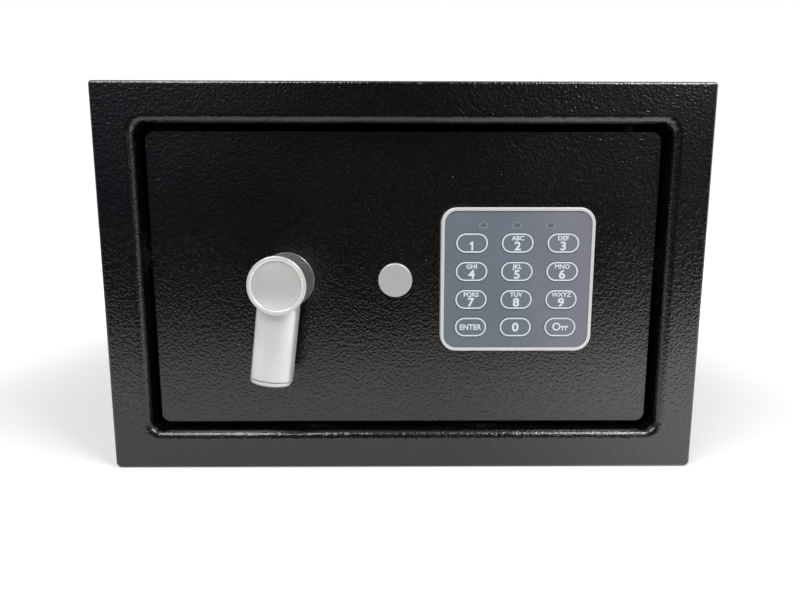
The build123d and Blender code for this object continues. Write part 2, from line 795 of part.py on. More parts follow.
def post_places():
    xs = (control_x_pair[0] + POST_INSET, control_x_pair[1] - POST_INSET)
    zs = (control_z_pair[0] + POST_RISE, control_z_pair[1] - POST_INSET)
    return [(x, z) for x in xs for z in zs]


def component(x, z, width, height, thickness):
    """A block on the back of the control board."""
    return slab(rectangle(x, z, width, height), control_back_y, control_back_y + thickness)


def control_board():
    """Board with its buzzer, chip, connector and reset switch."""
    board = block(control_x_pair, (control_front_y, control_back_y), control_z_pair)
    board += disc(control_x + BUZZER_X, control_z, BUZZER_R, control_back_y, control_back_y + BUZZER_HEIGHT)
    board += component(control_x + CHIP_X, control_z, CHIP_WIDTH, CHIP_HEIGHT, CHIP_THICKNESS)
    x, z = control_x + PLUG_BLOCK_X, control_z + PLUG_BLOCK_Z
    board += component(x, z, PLUG_BLOCK_WIDTH, PLUG_BLOCK_HEIGHT, PLUG_BLOCK_THICKNESS)
    return board + component(*reset_place(), RESET_SWITCH, RESET_SWITCH, RESET_SWITCH_HEIGHT)


def board_posts():
    return [disc(x, z, POST_R, door_back_y, control_front_y) for x, z in post_places()]


def reset_button():
    """Long button that reaches from the board's switch out through the lock case."""
    x, z = reset_place()
    y_front = control_back_y + RESET_SWITCH_HEIGHT + RESET_TRAVEL + SWITCH_GAP
    y_back = case_back_y + RESET_PROUD
    return fillet(rim(disc(x, z, RESET_R, y_front, y_back), y_back), RESET_EDGE_R)


cell_y = case_inner_y - CELL_TO_LID - CELL_R
box_floor_y = cell_y - CELL_R - CELL_TO_FLOOR


def battery_box():
    """Tray behind the lid's opening, its mouth on the lock case."""
    length, height = battery_box_size()
    x, z = battery_centre()
    box = slab(rectangle(x, z, length, height, BOX_CORNER_R), box_floor_y - BOX_WALL, case_inner_y)
    inside = rectangle(x, z, length - 2 * BOX_WALL, height - 2 * BOX_WALL)
    return box - slab(inside, box_floor_y, case_inner_y + CUT)


def cell_rows():
    """Height of each cell and the side that its button end points to."""
    z_mid = battery_centre()[1]
    for row in range(CELL_COUNT):
        yield z_mid + (row - (CELL_COUNT - 1) / 2) * CELL_PITCH, SIDES[row % 2]


def battery_cells():
    """Cells side by side, every other one turned round."""
    cells = []
    x_mid = battery_centre()[0]
    for z, side in cell_rows():
        flat = x_mid - side * CELL_LENGTH / 2
        shoulder = x_mid + side * (CELL_LENGTH / 2 - CELL_BUTTON)
        tip = x_mid + side * CELL_LENGTH / 2
        body = bar(cell_y, z, CELL_R, *sorted((flat, shoulder)))
        cells.append(body + bar(cell_y, z, CELL_BUTTON_R, *sorted((shoulder, tip))))
    return cells


def battery_contacts():
    """Sprung strips at both ends, with a raised boss for each cell."""
    strips = []
    x_mid = battery_centre()[0]
    height = battery_box_size()[1] - 2 * BOX_WALL
    z_mid = battery_centre()[1]
    for side in SIDES:
        wall_x = x_mid + side * (CELL_LENGTH / 2 + CELL_END_ROOM)
        face_x = wall_x - side * CONTACT_SHEET
        z_pair = (z_mid - height / 2, z_mid + height / 2)
        strip = block(sorted((wall_x, face_x)), (box_floor_y, cell_y + CONTACT_REACH), z_pair)
        for z, _ in cell_rows():
            cell_end_x = x_mid + side * CELL_LENGTH / 2
            strip += bar(cell_y, z, CONTACT_BOSS_R, *sorted((face_x, cell_end_x)))
        strips.append(strip)
    return strips


def battery_lid():
    """Lid that fills the lock case's opening, with a finger notch."""
    lid = slab(lid_outline(LID_GAP), case_back_y - LID_SHEET, case_back_y)
    x, z = battery_centre()
    notch_z = z - battery_box_size()[1] / 2 + NOTCH_RISE
    notch = Pos(x, notch_z) * SlotOverall(NOTCH_WIDTH, NOTCH_HEIGHT)
    return lid - slab(notch, case_back_y - NOTCH_DEPTH, case_back_y + CUT)


def spindle_bush():
    flange_y = door_back_y + BUSH_FLANGE
    bush = disc(handle_x, handle_z, SPINDLE_R + BUSH_WALL, door_face_y, flange_y)
    bush += disc(handle_x, handle_z, SPINDLE_R + BUSH_FLANGE_WIDTH, door_back_y, flange_y)
    bore_r = SPINDLE_R + SPINDLE_RUNNING
    return bush - disc(handle_x, handle_z, bore_r, door_face_y - CUT, flange_y + CUT)


def handle_rosette():
    face_y = door_face_y - ROSETTE_THICKNESS
    ring = disc(handle_x, handle_z, ROSETTE_R, face_y, door_face_y)
    ring = fillet(rim(ring, face_y), ROSETTE_EDGE_R)
    return ring - disc(handle_x, handle_z, SPINDLE_R + ROSETTE_BORE_GAP, face_y - CUT, door_face_y + CUT)


hub_front_y = door_face_y - HUB_REACH
hub_back_y = door_face_y - ROSETTE_THICKNESS - HUB_TO_ROSETTE
pocket_y = hub_front_y + INSERT_RECESS + INSERT_THICKNESS
spindle_front_y = pocket_y + HUB_FACE


def handle_hub():
    """Round hub with a rolled rim, a pocket for its insert and a blind bore for the spindle."""
    hub = disc(handle_x, handle_z, HUB_R, hub_front_y, hub_back_y)
    hub = fillet(rim(hub, hub_front_y), HUB_EDGE_R)
    hub -= disc(handle_x, handle_z, INSERT_R + INSERT_GROOVE, hub_front_y - CUT, pocket_y)
    pocket_edge = sorted(rim(hub, hub_front_y), key=lambda edge: edge.length)[:1]
    hub = fillet(pocket_edge, HUB_POCKET_EDGE_R)
    return hub - disc(handle_x, handle_z, SPINDLE_R, spindle_front_y, hub_back_y + CUT)


def hub_insert():
    """A slightly domed disc in the hub's pocket."""
    face_y = hub_front_y + INSERT_RECESS
    insert = disc(handle_x, handle_z, INSERT_R, face_y, pocket_y)
    ball_r = (INSERT_R**2 + INSERT_DOME**2) / (2 * INSERT_DOME)
    insert &= Pos(handle_x, face_y + ball_r, handle_z) * Sphere(ball_r)
    return fillet(rim(insert, face_y + INSERT_DOME), INSERT_EDGE_R)


def lever_outline():
    """The lever's section in the horizontal plane: an arched front with round shoulders."""
    half = LEVER_WIDTH / 2
    back = door_face_y - LEVER_STANDOFF
    side = back - LEVER_SIDE
    crown = side - LEVER_CROWN
    arc = ThreePointArc((-half, side), (0, crown), (half, side))
    wall = Polyline((half, side), (half, back), (-half, back), (-half, side))
    section = make_face([arc, wall])
    shoulders = section.vertices().sort_by(Axis.Y)[:2]
    return fillet(shoulders, LEVER_SHOULDER_R)


def hung(solid):
    """A piece drawn hanging straight down from the hub's axis, put in its place and tilted."""
    return Pos(handle_x, 0, handle_z) * Rot(0, LEVER_TILT, 0) * solid


def handle_lever():
    """The lever as far as its end cap, with a seam there and along each side, cut to seat on the hub."""
    length = LEVER_LENGTH - LEVER_CAP
    lever = Pos(0, 0, -length) * extrude(lever_outline(), amount=length)
    end = Pos(0, 0, -length) * extrude(lever_outline(), amount=SEAM_WIDTH)
    neck = Pos(0, 0, -length) * extrude(offset(lever_outline(), -SEAM_DEPTH), amount=SEAM_WIDTH)
    lever -= end - neck
    half = LEVER_WIDTH / 2
    seam_y = door_face_y - LEVER_STANDOFF - LEVER_SIDE + SEAM_FROM_CROWN
    for side in SIDES:
        seam_x = sorted((side * (half - SEAM_DEPTH), side * (half + CUT)))
        lever -= block(seam_x, (seam_y, seam_y + SEAM_WIDTH), (-length - CUT, CUT))
    return hung(lever) - disc(handle_x, handle_z, HUB_R, hub_front_y - CUT, hub_back_y + CUT)


def lever_cap():
    """The piece that closes the lever's end."""
    cap = Pos(0, 0, -LEVER_LENGTH) * extrude(lever_outline(), amount=LEVER_CAP)
    edge_r = min(LEVER_EDGE_R, LEVER_CAP - CAP_RIM)
    cap = fillet(cap.faces().sort_by(Axis.Z)[0].edges(), edge_r)
    return hung(cap)


def spindle():
    shaft = disc(handle_x, handle_z, SPINDLE_R, spindle_front_y, crank_back_y)
    bore_y = crank_back_y - CRANK_SCREW_LENGTH - CRANK_SCREW_TIP_ROOM
    return shaft - disc(handle_x, handle_z, CRANK_SCREW_R, bore_y, crank_back_y + CUT)


def retaining_clip():
    y = door_back_y + BUSH_FLANGE + CLIP_GAP
    clip = disc(handle_x, handle_z, SPINDLE_R + CLIP_WIDTH, y, y + CLIP_THICKNESS)
    return clip - disc(handle_x, handle_z, SPINDLE_R, y - CUT, y + CLIP_THICKNESS + CUT)


def crank():
    """Arm on the spindle's end, whose pin drives the carrier's slot."""
    angle = degrees(crank_half_turn)
    axis = Pos(handle_x, handle_z)
    arm = axis * Rot(0, 0, angle) * Pos(0, -CRANK_RADIUS / 2) * Rectangle(CRANK_WIDTH, CRANK_RADIUS)
    outline = arm + axis * Circle(SPINDLE_R + CRANK_BOSS)
    outline += Pos(crank_pin_x, crank_pin_z) * Circle(CRANK_PIN_R + CRANK_PIN_BOSS)
    outline -= axis * Circle(SPINDLE_R)
    pin_y = (crank_back_y - CRANK_THICKNESS / 2, carrier_back_y + CRANK_PIN_PROUD)
    pin = disc(crank_pin_x, crank_pin_z, CRANK_PIN_R, *pin_y)
    return slab(outline, crank_front_y, crank_back_y) + pin


def crank_screw():
    head_y = crank_back_y + CRANK_SCREW_HEAD
    head = disc(handle_x, handle_z, SPINDLE_R + CRANK_SCREW_LEDGE, crank_back_y, head_y)
    head = fillet(rim(head, head_y), CRANK_SCREW_EDGE_R)
    tip_y = crank_back_y - CRANK_SCREW_LENGTH
    return head + disc(handle_x, handle_z, CRANK_SCREW_R, tip_y, crank_back_y + CRANK_SCREW_HEAD / 2)


def bolt_carrier():
    """Folded plate: a flange that holds the bolts, and an arm with the crank's slot and a lug."""
    reach = BOLT_SPREAD / 2 + CARRIER_OVERHANG
    z_low, z_high = middle_z - reach, middle_z + reach
    y_front = bolt_y - BOLT_R - CARRIER_MARGIN
    flange = block((carrier_x, carrier_x + CARRIER_PLATE), (y_front, carrier_back_y), (z_low, z_high))
    plate_y = (carrier_plate_y, carrier_back_y)
    web = block((carrier_x, carrier_x + CARRIER_PLATE + CARRIER_WEB), plate_y, (z_low, z_high))
    arm_x = (carrier_x, lug_x + LUG_WIDTH + LUG_SHOULDER)
    arm = block(arm_x, plate_y, (arm_bottom_z, arm_bottom_z + CARRIER_ARM))
    lug = block((lug_x, lug_x + LUG_WIDTH), plate_y, (lug_bottom_z, arm_bottom_z + CARRIER_ARM / 2))
    carrier = flange + web + arm + lug
    rise = CRANK_RADIUS * (1 - cos(crank_half_turn))
    slot_width = 2 * (CRANK_PIN_R + CRANK_PIN_ROOM)
    slot = rectangle(crank_pin_x, crank_pin_z - rise / 2, slot_width, rise + slot_width)
    carrier -= slab(slot, plate_y[0] - CUT, plate_y[1] + CUT)
    for z in bolt_heights():
        carrier -= bar(bolt_y, z, BOLT_NECK_R + FITTED, carrier_x - CUT, carrier_x + CARRIER_PLATE + CUT)
    return carrier


def lock_bolts():
    """Round bolts, each riveted through the carrier's flange."""
    bolts = []
    for z in bolt_heights():
        body = bar(bolt_y, z, BOLT_R, bolt_tip_x, carrier_x)
        tip = body.edges().filter_by(GeomType.CIRCLE).sort_by(Axis.X)[0]
        body = chamfer(tip, BOLT_CHAMFER)
        head_x = carrier_x + CARRIER_PLATE
        neck = bar(bolt_y, z, BOLT_NECK_R, carrier_x - BOLT_NECK_R, head_x + RIVET_HEAD)
        rivet = bar(bolt_y, z, BOLT_NECK_R + RIVET_LEDGE, head_x, head_x + RIVET_HEAD)
        bolts.append(body + neck + rivet)
    return bolts


coil_bottom_z = case_floor_z + COIL_TO_CASE + SOLENOID_SHEET
coil_top_z = solenoid_top_z - SOLENOID_SHEET


def solenoid_frame():
    """C-shaped bracket that stands on the door and clamps the coil between its jaws."""
    x_pair = (plunger_x - COIL_R - COIL_TO_JAW_EDGE, plunger_x + COIL_R + COIL_TO_JAW_EDGE)
    y_pair = (door_back_y, plunger_y + COIL_R)
    frame = block(x_pair, y_pair, (coil_bottom_z - SOLENOID_SHEET, solenoid_top_z))
    y_inside = (door_back_y + SOLENOID_SHEET, y_pair[1] + CUT)
    frame -= block((x_pair[0] - CUT, x_pair[1] + CUT), y_inside, (coil_bottom_z, coil_top_z))
    bore_r = PLUNGER_R + SOLENOID_BORE_GAP
    return frame - post(plunger_x, plunger_y, bore_r, coil_top_z - CUT, solenoid_top_z + CUT)


def solenoid_coil():
    """Wound coil between two bobbin cheeks."""
    coil = post(plunger_x, plunger_y, COIL_R - COIL_WINDING_STEP, coil_bottom_z, coil_top_z)
    coil += post(plunger_x, plunger_y, COIL_R, coil_bottom_z, coil_bottom_z + COIL_CHEEK)
    coil += post(plunger_x, plunger_y, COIL_R, coil_top_z - COIL_CHEEK, coil_top_z)
    bore_r = PLUNGER_R + SOLENOID_BORE_GAP
    bore_z = coil_bottom_z + PLUNGER_SEAT - PLUNGER_SEAT_GAP
    return coil - post(plunger_x, plunger_y, bore_r, bore_z, coil_top_z + CUT)


def plunger():
    """Rod with a collar for its spring. It rises to block the carrier's lug."""
    rod = post(plunger_x, plunger_y, PLUNGER_R, coil_bottom_z + PLUNGER_SEAT, plunger_top_z)
    rod = chamfer(rod.edges().filter_by(GeomType.CIRCLE).sort_by(Axis.Z)[-1], PLUNGER_CHAMFER)
    collar_r = PLUNGER_R + COLLAR_LEDGE
    return rod + post(plunger_x, plunger_y, collar_r, collar_z, collar_z + COLLAR_THICKNESS)


def plunger_spring():
    """Return spring between the solenoid's frame and the plunger's collar."""
    seat = SPRING_WIRE_R + SPRING_SEAT_GAP
    low = solenoid_top_z + seat
    height = collar_z - seat - low
    coil_r = PLUNGER_R + SOLENOID_BORE_GAP + 2 * SPRING_WIRE_R
    path = Helix(height / SPRING_TURNS, height, coil_r)
    wire = Plane(origin=path @ 0, z_dir=path % 0) * Circle(SPRING_WIRE_R)
    return Pos(plunger_x, plunger_y, low) * sweep(wire, path, is_frenet=True)


# The cam turns just in front of the carrier's plate
cam_front_y = carrier_plate_y - CAM_TO_CARRIER - CAM_THICKNESS
barrel_back_y = cam_front_y - PLUG_PROUD


def lock_barrel():
    """Flanged barrel of the emergency lock, through the door."""
    barrel = disc(lock_x, handle_z, BARREL_R, door_face_y - BARREL_FLANGE, barrel_back_y)
    barrel += disc(lock_x, handle_z, BARREL_R + BARREL_LEDGE, door_face_y - BARREL_FLANGE, door_face_y)
    y_pair = (door_face_y - BARREL_FLANGE - CUT, barrel_back_y + CUT)
    return barrel - disc(lock_x, handle_z, PLUG_R + PLUG_RUNNING, *y_pair)


def lock_nut():
    nut_y = door_back_y + LOCK_NUT_HEIGHT
    nut = hexagon(lock_x, handle_z, LOCK_NUT_FLATS, door_back_y, nut_y)
    return nut - disc(lock_x, handle_z, BARREL_R, door_back_y - CUT, nut_y + CUT)


def lock_plug():
    """Turning core with its keyway, and a stub that carries the cam."""
    face_y = door_face_y - BARREL_FLANGE + PLUG_SUNK
    plug = disc(lock_x, handle_z, PLUG_R, face_y, cam_front_y)
    plug += disc(lock_x, handle_z, CAM_BORE_R, barrel_back_y, cam_front_y + CAM_THICKNESS)
    keyway = rectangle(lock_x, handle_z, KEYWAY_WIDTH, KEYWAY_HEIGHT)
    return plug - slab(keyway, face_y - CUT, barrel_back_y - KEYWAY_END)


def lock_cam():
    outline = Pos(lock_x, handle_z) * Circle(CAM_BOSS_R)
    outline += rectangle(lock_x, handle_z - CAM_LENGTH / 2, CAM_WIDTH, CAM_LENGTH, CAM_CORNER_R)
    outline -= Pos(lock_x, handle_z) * Circle(CAM_BORE_R)
    return slab(outline, cam_front_y, cam_front_y + CAM_THICKNESS)


def lock_cap():
    """Round cap that hides the emergency lock and pulls straight off."""
    face_y = door_face_y - CAP_REACH
    cap = disc(lock_x, handle_z, CAP_R, face_y, door_face_y)
    cap = fillet(rim(cap, face_y), CAP_EDGE_R)
    pocket_r = BARREL_R + BARREL_LEDGE + CAP_TO_BARREL
    floor_y = door_face_y - BARREL_FLANGE - CAP_TO_BARREL
    return cap - disc(lock_x, handle_z, pocket_r, floor_y, door_face_y + CUT)


def pieces():
    """Every node's name with its solid or its group of solids."""
    made = {
        "body_pan": body_pan(),
        "top_panel": top_panel(),
        "back_panel": back_panel(),
        "front_frame": front_frame(),
        "hinge_plates": hinge_plates(),
        "door_stops": door_stops(),
        "stop_pads": stop_pads(),
        "floor_mat": floor_mat(),
        "door_plate": door_plate(),
        "hinge_brackets": hinge_brackets(),
        "hinge_pins": hinge_pins(),
        "bolt_guides": bolt_guides(),
        "lock_case": lock_case(),
        "case_nuts": case_nuts(),
        "keypad_bezel": keypad_bezel(),
        "keypad_overlay": keypad_overlay(),
        "keypad_board": keypad_board(),
        "keypad_screws": keypad_screws(),
        "status_lights": status_lights(),
        "ribbon_cable": ribbon_cable(),
        "control_board": control_board(),
        "board_posts": board_posts(),
        "reset_button": reset_button(),
        "battery_box": battery_box(),
        "battery_cells": battery_cells(),
        "battery_contacts": battery_contacts(),
        "battery_lid": battery_lid(),
        "spindle_bush": spindle_bush(),
        "handle_rosette": handle_rosette(),
        "handle_hub": handle_hub(),
        "hub_insert": hub_insert(),
        "handle_lever": handle_lever(),
        "lever_cap": lever_cap(),
        "spindle": spindle(),
        "retaining_clip": retaining_clip(),
        "crank": crank(),
        "crank_screw": crank_screw(),
        "bolt_carrier": bolt_carrier(),
        "lock_bolts": lock_bolts(),
        "solenoid_frame": solenoid_frame(),
        "solenoid_coil": solenoid_coil(),
        "plunger": plunger(),
        "plunger_spring": plunger_spring(),
        "lock_barrel": lock_barrel(),
        "lock_nut": lock_nut(),
        "lock_plug": lock_plug(),
        "lock_cam": lock_cam(),
        "lock_cap": lock_cap(),
    }
    for number, (x, z) in enumerate(key_places(), 1):
        made[f"key_{number:02d}"] = key(x, z)
    return made


os.makedirs("parts", exist_ok=True)
for name, solid in pieces().items():
    group = Compound(children=solid) if isinstance(solid, list) else solid
    export_step(group, f"parts/{name}.step")
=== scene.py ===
"""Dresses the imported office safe: finishes, printed legends, felt mat, studio and camera.

Everything is in metres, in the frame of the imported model: +X to the right of someone facing the
door, +Y into the safe, +Z up, with the origin at the centre of the cabinet's bottom face.
"""

import logging
import math
from abc import ABC, abstractmethod
from dataclasses import dataclass, replace
from enum import Enum
from typing import ClassVar, Iterable, Optional, Union

import bmesh
import bpy
from mathutils import Euler, Matrix, Vector, noise


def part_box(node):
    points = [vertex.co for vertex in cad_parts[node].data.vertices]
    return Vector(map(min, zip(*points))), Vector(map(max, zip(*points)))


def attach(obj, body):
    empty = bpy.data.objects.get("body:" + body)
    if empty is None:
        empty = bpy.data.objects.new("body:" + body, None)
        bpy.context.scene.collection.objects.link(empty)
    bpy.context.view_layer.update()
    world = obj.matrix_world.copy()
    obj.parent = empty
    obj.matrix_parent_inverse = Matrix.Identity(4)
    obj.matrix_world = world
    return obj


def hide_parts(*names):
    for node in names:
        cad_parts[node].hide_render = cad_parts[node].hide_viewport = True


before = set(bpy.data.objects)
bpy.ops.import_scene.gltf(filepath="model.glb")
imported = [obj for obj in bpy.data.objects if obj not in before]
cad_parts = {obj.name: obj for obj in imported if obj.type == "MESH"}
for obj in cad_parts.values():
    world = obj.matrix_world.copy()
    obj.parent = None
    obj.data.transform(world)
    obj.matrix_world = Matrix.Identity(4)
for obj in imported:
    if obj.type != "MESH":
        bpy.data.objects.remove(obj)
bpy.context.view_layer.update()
MM = 0.001
KEY_COUNT = 12

log = logging.getLogger("safe")

Colour = tuple[float, float, float]
Point = tuple[float, float]
Point3 = tuple[float, float, float]
Socket = bpy.types.NodeSocket
Value = Union[float, Colour, Socket]
Sockets = dict[str, Socket]
Node = bpy.types.Node
Piece = bpy.types.Object
Mesh = bmesh.types.BMesh


class Body(Enum):
    """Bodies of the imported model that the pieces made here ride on."""

    CABINET = "cabinet"
    DOOR = "door"


class Axis(Enum):
    """Direction that brushing or winding runs along, as a scale of the texture space."""

    X = (0.06, 1.0, 1.0)
    Y = (1.0, 0.06, 1.0)
    Z = (1.0, 1.0, 0.06)


class Graph:
    """Adds nodes to a node tree, and sets or links their inputs in the same call."""

    RANGE: ClassVar[tuple[str, ...]] = ("Value", "From Min", "From Max", "To Min", "To Max")

    def __init__(self, tree: bpy.types.NodeTree) -> None:
        """Keeps the tree that the nodes go into, and room for its shader."""
        self.tree, self.shader = tree, None

    def feed(self, socket: Socket, value: Value) -> None:
        """Links a socket, or sets its value.

        Args:
            socket: The input to fill.
            value: An output socket, a number, or a colour of three numbers.
        """
        if isinstance(value, bpy.types.NodeSocket):
            self.tree.links.new(value, socket)
        elif isinstance(value, tuple) and socket.type == "RGBA":
            socket.default_value = (*value, 1.0)
        else:
            socket.default_value = value

    def add(self, kind: str, given: Optional[dict] = None, **settings: object) -> Node:
        """Adds a node.

        Args:
            kind: The node's type name.
            given: Values for its inputs, by name or number.
            **settings: Values for the node's own properties.

        Returns:
            The new node.
        """
        node = self.tree.nodes.new(kind)
        for name, value in settings.items():
            setattr(node, name, value)
        for name, value in (given or {}).items():
            self.feed(node.inputs[name], value)
        return node

    def math(self, operation: str, first: Value, second: Value = 0.0) -> Socket:
        """Works out one number from two, by an operation of the Math node."""
        return self.add("ShaderNodeMath", {0: first, 1: second}, operation=operation).outputs[0]

    def times(self, first: Value, second: Value) -> Socket:
        """One number times another."""
        return self.math("MULTIPLY", first, second)

    def span(
        self, value: Value, low: float, high: float, to_low: float = 0.0, to_high: float = 1.0
    ) -> Socket:
        """Maps low to high smoothly onto to_low to to_high, and holds it at both ends."""
        given = dict(zip(self.RANGE, (value, low, high, to_low, to_high)))
        return self.add("ShaderNodeMapRange", given, interpolation_type="SMOOTHSTEP").outputs[0]

    def vary(self, share: Value, at_none: float, at_full: float) -> Socket:
        """Goes smoothly from one number to another as a share goes from 0 to 1."""
        return self.span(share, 0.0, 1.0, at_none, at_full)

    def blend(self, share: Value, first: Value, second: Value) -> Socket:
        """Mixes two colours, from the first at a share of 0 to the second at 1."""
        node = self.add("ShaderNodeMix", {0: share, 6: first, 7: second}, data_type="RGBA")
        return node.outputs[2]

    def tinge(self, colour: Value, mask: Value, strength: float, other: Value) -> Socket:
        """Lets a share of another colour show where a mask says."""
        return self.blend(self.times(mask, strength), colour, other)

    def place(self) -> Socket:
        """The point's place on its own piece, which moves with the piece."""
        return self.add("ShaderNodeTexCoord").outputs["Object"]

    def axes(self, where: Value) -> tuple[Socket, ...]:
        """The X, Y and Z of a place."""
        return tuple(self.add("ShaderNodeSeparateXYZ", {0: where}).outputs)

    def off_axis(self, where: Value, node: str) -> Socket:
        """Works out how far a place is from the axis of a turned piece that faces forward.

        Args:
            where: The place.
            node: The turned piece's node.

        Returns:
            The socket of the distance's square.
        """
        low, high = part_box(node)
        x, _, z = self.axes(where)
        across = self.math("SUBTRACT", x, (low.x + high.x) / 2)
        up = self.math("SUBTRACT", z, (low.z + high.z) / 2)
        across, up = self.times(across, across), self.times(up, up)
        return self.math("ADD", across, up)

    def stretched(self, scale: Point3) -> Socket:
        """The point's place, stretched along the axes."""
        return self.add("ShaderNodeMapping", {"Vector": self.place(), "Scale": scale}).outputs[0]

    def noise(self, where: Value, scale: Value, detail: float = 2.0, rough: float = 0.5) -> Socket:
        """The height of a noise texture, with scale as its grains per metre."""
        given = {"Vector": where, "Scale": scale, "Detail": detail, "Roughness": rough}
        return self.add("ShaderNodeTexNoise", given).outputs["Fac"]

    def bump(self, height: Value, depth: float) -> Node:
        """Adds a bump, whose height of 1 is depth in metres."""
        return self.add("ShaderNodeBump", {"Height": height, "Distance": depth, "Strength": 1.0})

    def give(self, name: str, value: Value) -> None:
        """Fills one of the shader's own inputs."""
        self.feed(self.shader.inputs[name], value)

    def given(self, name: str) -> Socket:
        """What one of the shader's inputs is linked to."""
        return self.shader.inputs[name].links[0].from_socket

    def surface(self, colour: Value, rough: Value, height: Socket, depth: float) -> None:
        """Fills the shader's colour, roughness and bump.

        Args:
            colour: Its base colour.
            rough: Its roughness.
            height: The bump's height, from 0 to 1.
            depth: What a height of 1 is in metres.
        """
        self.give("Base Color", colour)
        self.give("Roughness", rough)
        self.give("Normal", self.bump(height, depth).outputs[0])


def fresh_graph(owner: Union[bpy.types.Material, bpy.types.World], kind: str, end: str) -> Graph:
    """Empties the node tree of a material or world, and gives it a shader.

    Args:
        owner: The material or world.
        kind: The shader's type, after ShaderNode.
        end: What the output node is for.

    Returns:
        The tree, ready for what feeds the shader.
    """
    owner.use_nodes = True
    owner.node_tree.nodes.clear()
    graph = Graph(owner.node_tree)
    graph.shader = graph.add(f"ShaderNode{kind}")
    graph.add(f"ShaderNodeOutput{end}", {"Surface": graph.shader.outputs[0]})
    return graph


def shaded(colour: Colour, share: float, lift: float = 0.0) -> Colour:
    """A colour made darker or paler by a share, and lifted a little towards white."""
    return tuple(min(1.0, share * part + lift) for part in colour)


class Effect(ABC):
    """A surface effect that several finishes share, kept as one node group."""

    title: ClassVar[str]
    takes: ClassVar[dict[str, float]]
    gives: ClassVar[tuple[str, ...]]

    @classmethod
    @abstractmethod
    def draw(cls, graph: Graph, taken: Sockets) -> Sockets:
        """Draws the effect's nodes.

        Args:
            graph: The group's own tree.
            taken: The group's inputs by name.

        Returns:
            The sockets to put out, by name.
        """

    @classmethod
    def group(cls) -> bpy.types.NodeTree:
        """Finds the effect's node group, and builds it the first time it is asked for."""
        found = bpy.data.node_groups.get(cls.title)
        if found is not None:
            return found
        tree = bpy.data.node_groups.new(cls.title, "ShaderNodeTree")
        for name, value in cls.takes.items():
            socket = tree.interface.new_socket(name, in_out="INPUT", socket_type="NodeSocketFloat")
            socket.default_value = value
        for name in cls.gives:
            tree.interface.new_socket(name, in_out="OUTPUT", socket_type="NodeSocketFloat")
        graph = Graph(tree)
        start = graph.add("NodeGroupInput")
        end = graph.add("NodeGroupOutput")
        drawn = cls.draw(graph, {name: start.outputs[name] for name in cls.takes})
        for name, socket in drawn.items():
            graph.feed(end.inputs[name], socket)
        return tree

    @classmethod
    def on(cls, graph: Graph, **values: float) -> Sockets:
        """Places the effect in a material.

        Args:
            graph: The material's tree and shader.
            **values: The effect's inputs, in this material.

        Returns:
            The effect's outputs by name.
        """
        node = graph.add("ShaderNodeGroup", node_tree=cls.group())
        for name, value in values.items():
            graph.feed(node.inputs[name], value)
        return {name: node.outputs[name] for name in cls.gives}


class LeatherGrain(Effect):
    """The wrinkled grain that a textured powder coat draws up into as it bakes."""

    title = "leather grain"
    takes = {"Grains": 600.0, "Wander": 0.5}
    gives = ("Height", "Valley")
    DRIFT_SCALE: ClassVar[float] = 0.45
    DRIFT_REACH: ClassVar[float] = 3.0
    FINE_SCALE: ClassVar[float] = 2.6
    FINE_SHARE: ClassVar[float] = 0.4

    @classmethod
    def draw(cls, graph: Graph, taken: Sockets) -> Sockets:
        """Draws worm-like islands with narrow valleys between them.

        Args:
            graph: The group's own tree.
            taken: The group's inputs by name.

        Returns:
            The sockets to put out, by name.
        """
        def vector(operation: str, given: dict) -> Socket:
            """Adds a vector operation."""
            return graph.add("ShaderNodeVectorMath", given, operation=operation).outputs[0]

        where, grains = graph.place(), taken["Grains"]
        drift_scale = graph.times(grains, cls.DRIFT_SCALE)
        drift = graph.noise(where, drift_scale, 1.0).node.outputs["Color"]
        drift = vector("SUBTRACT", {0: drift, 1: (0.5, 0.5, 0.5)})
        reach = graph.math("DIVIDE", taken["Wander"], grains)
        reach = graph.times(reach, cls.DRIFT_REACH)
        moved = vector("ADD", {0: where, 1: vector("SCALE", {0: drift, "Scale": reach})})
        coarse = graph.noise(moved, grains, 1.5, 0.45)
        fine_scale = graph.times(grains, cls.FINE_SCALE)
        fine = graph.noise(moved, fine_scale, 1.0)
        islands = graph.span(coarse, 0.34, 0.64)
        height = graph.math("ADD", islands, graph.times(fine, cls.FINE_SHARE))
        return {"Height": height, "Valley": graph.span(coarse, 0.34, 0.46, 1.0, 0.0)}


class FineGrain(Effect):
    """The fine, even grain of a mould's spark finish, a film or a paint's flakes."""

    title = "fine grain"
    takes = {"Grains": 3000.0}
    gives = ("Height", "Fleck")

    @classmethod
    def draw(cls, graph: Graph, taken: Sockets) -> Sockets:
        """Draws fine noise, and sparse flecks a little apart."""
        grain = graph.noise(graph.place(), taken["Grains"], 2.0, 0.6)
        return {"Height": grain, "Fleck": graph.span(grain, 0.56, 0.7)}


class Cloud(Effect):
    """The slow, cloudy unevenness of a sprayed or moulded surface."""

    title = "cloud"
    takes = {"Clouds": 12.0}
    gives = ("Share",)

    @classmethod
    def draw(cls, graph: Graph, taken: Sockets) -> Sockets:
        """Draws broad noise with most of its range used."""
        cloud = graph.noise(graph.place(), taken["Clouds"], 3.0, 0.5)
        return {"Share": graph.span(cloud, 0.3, 0.7)}


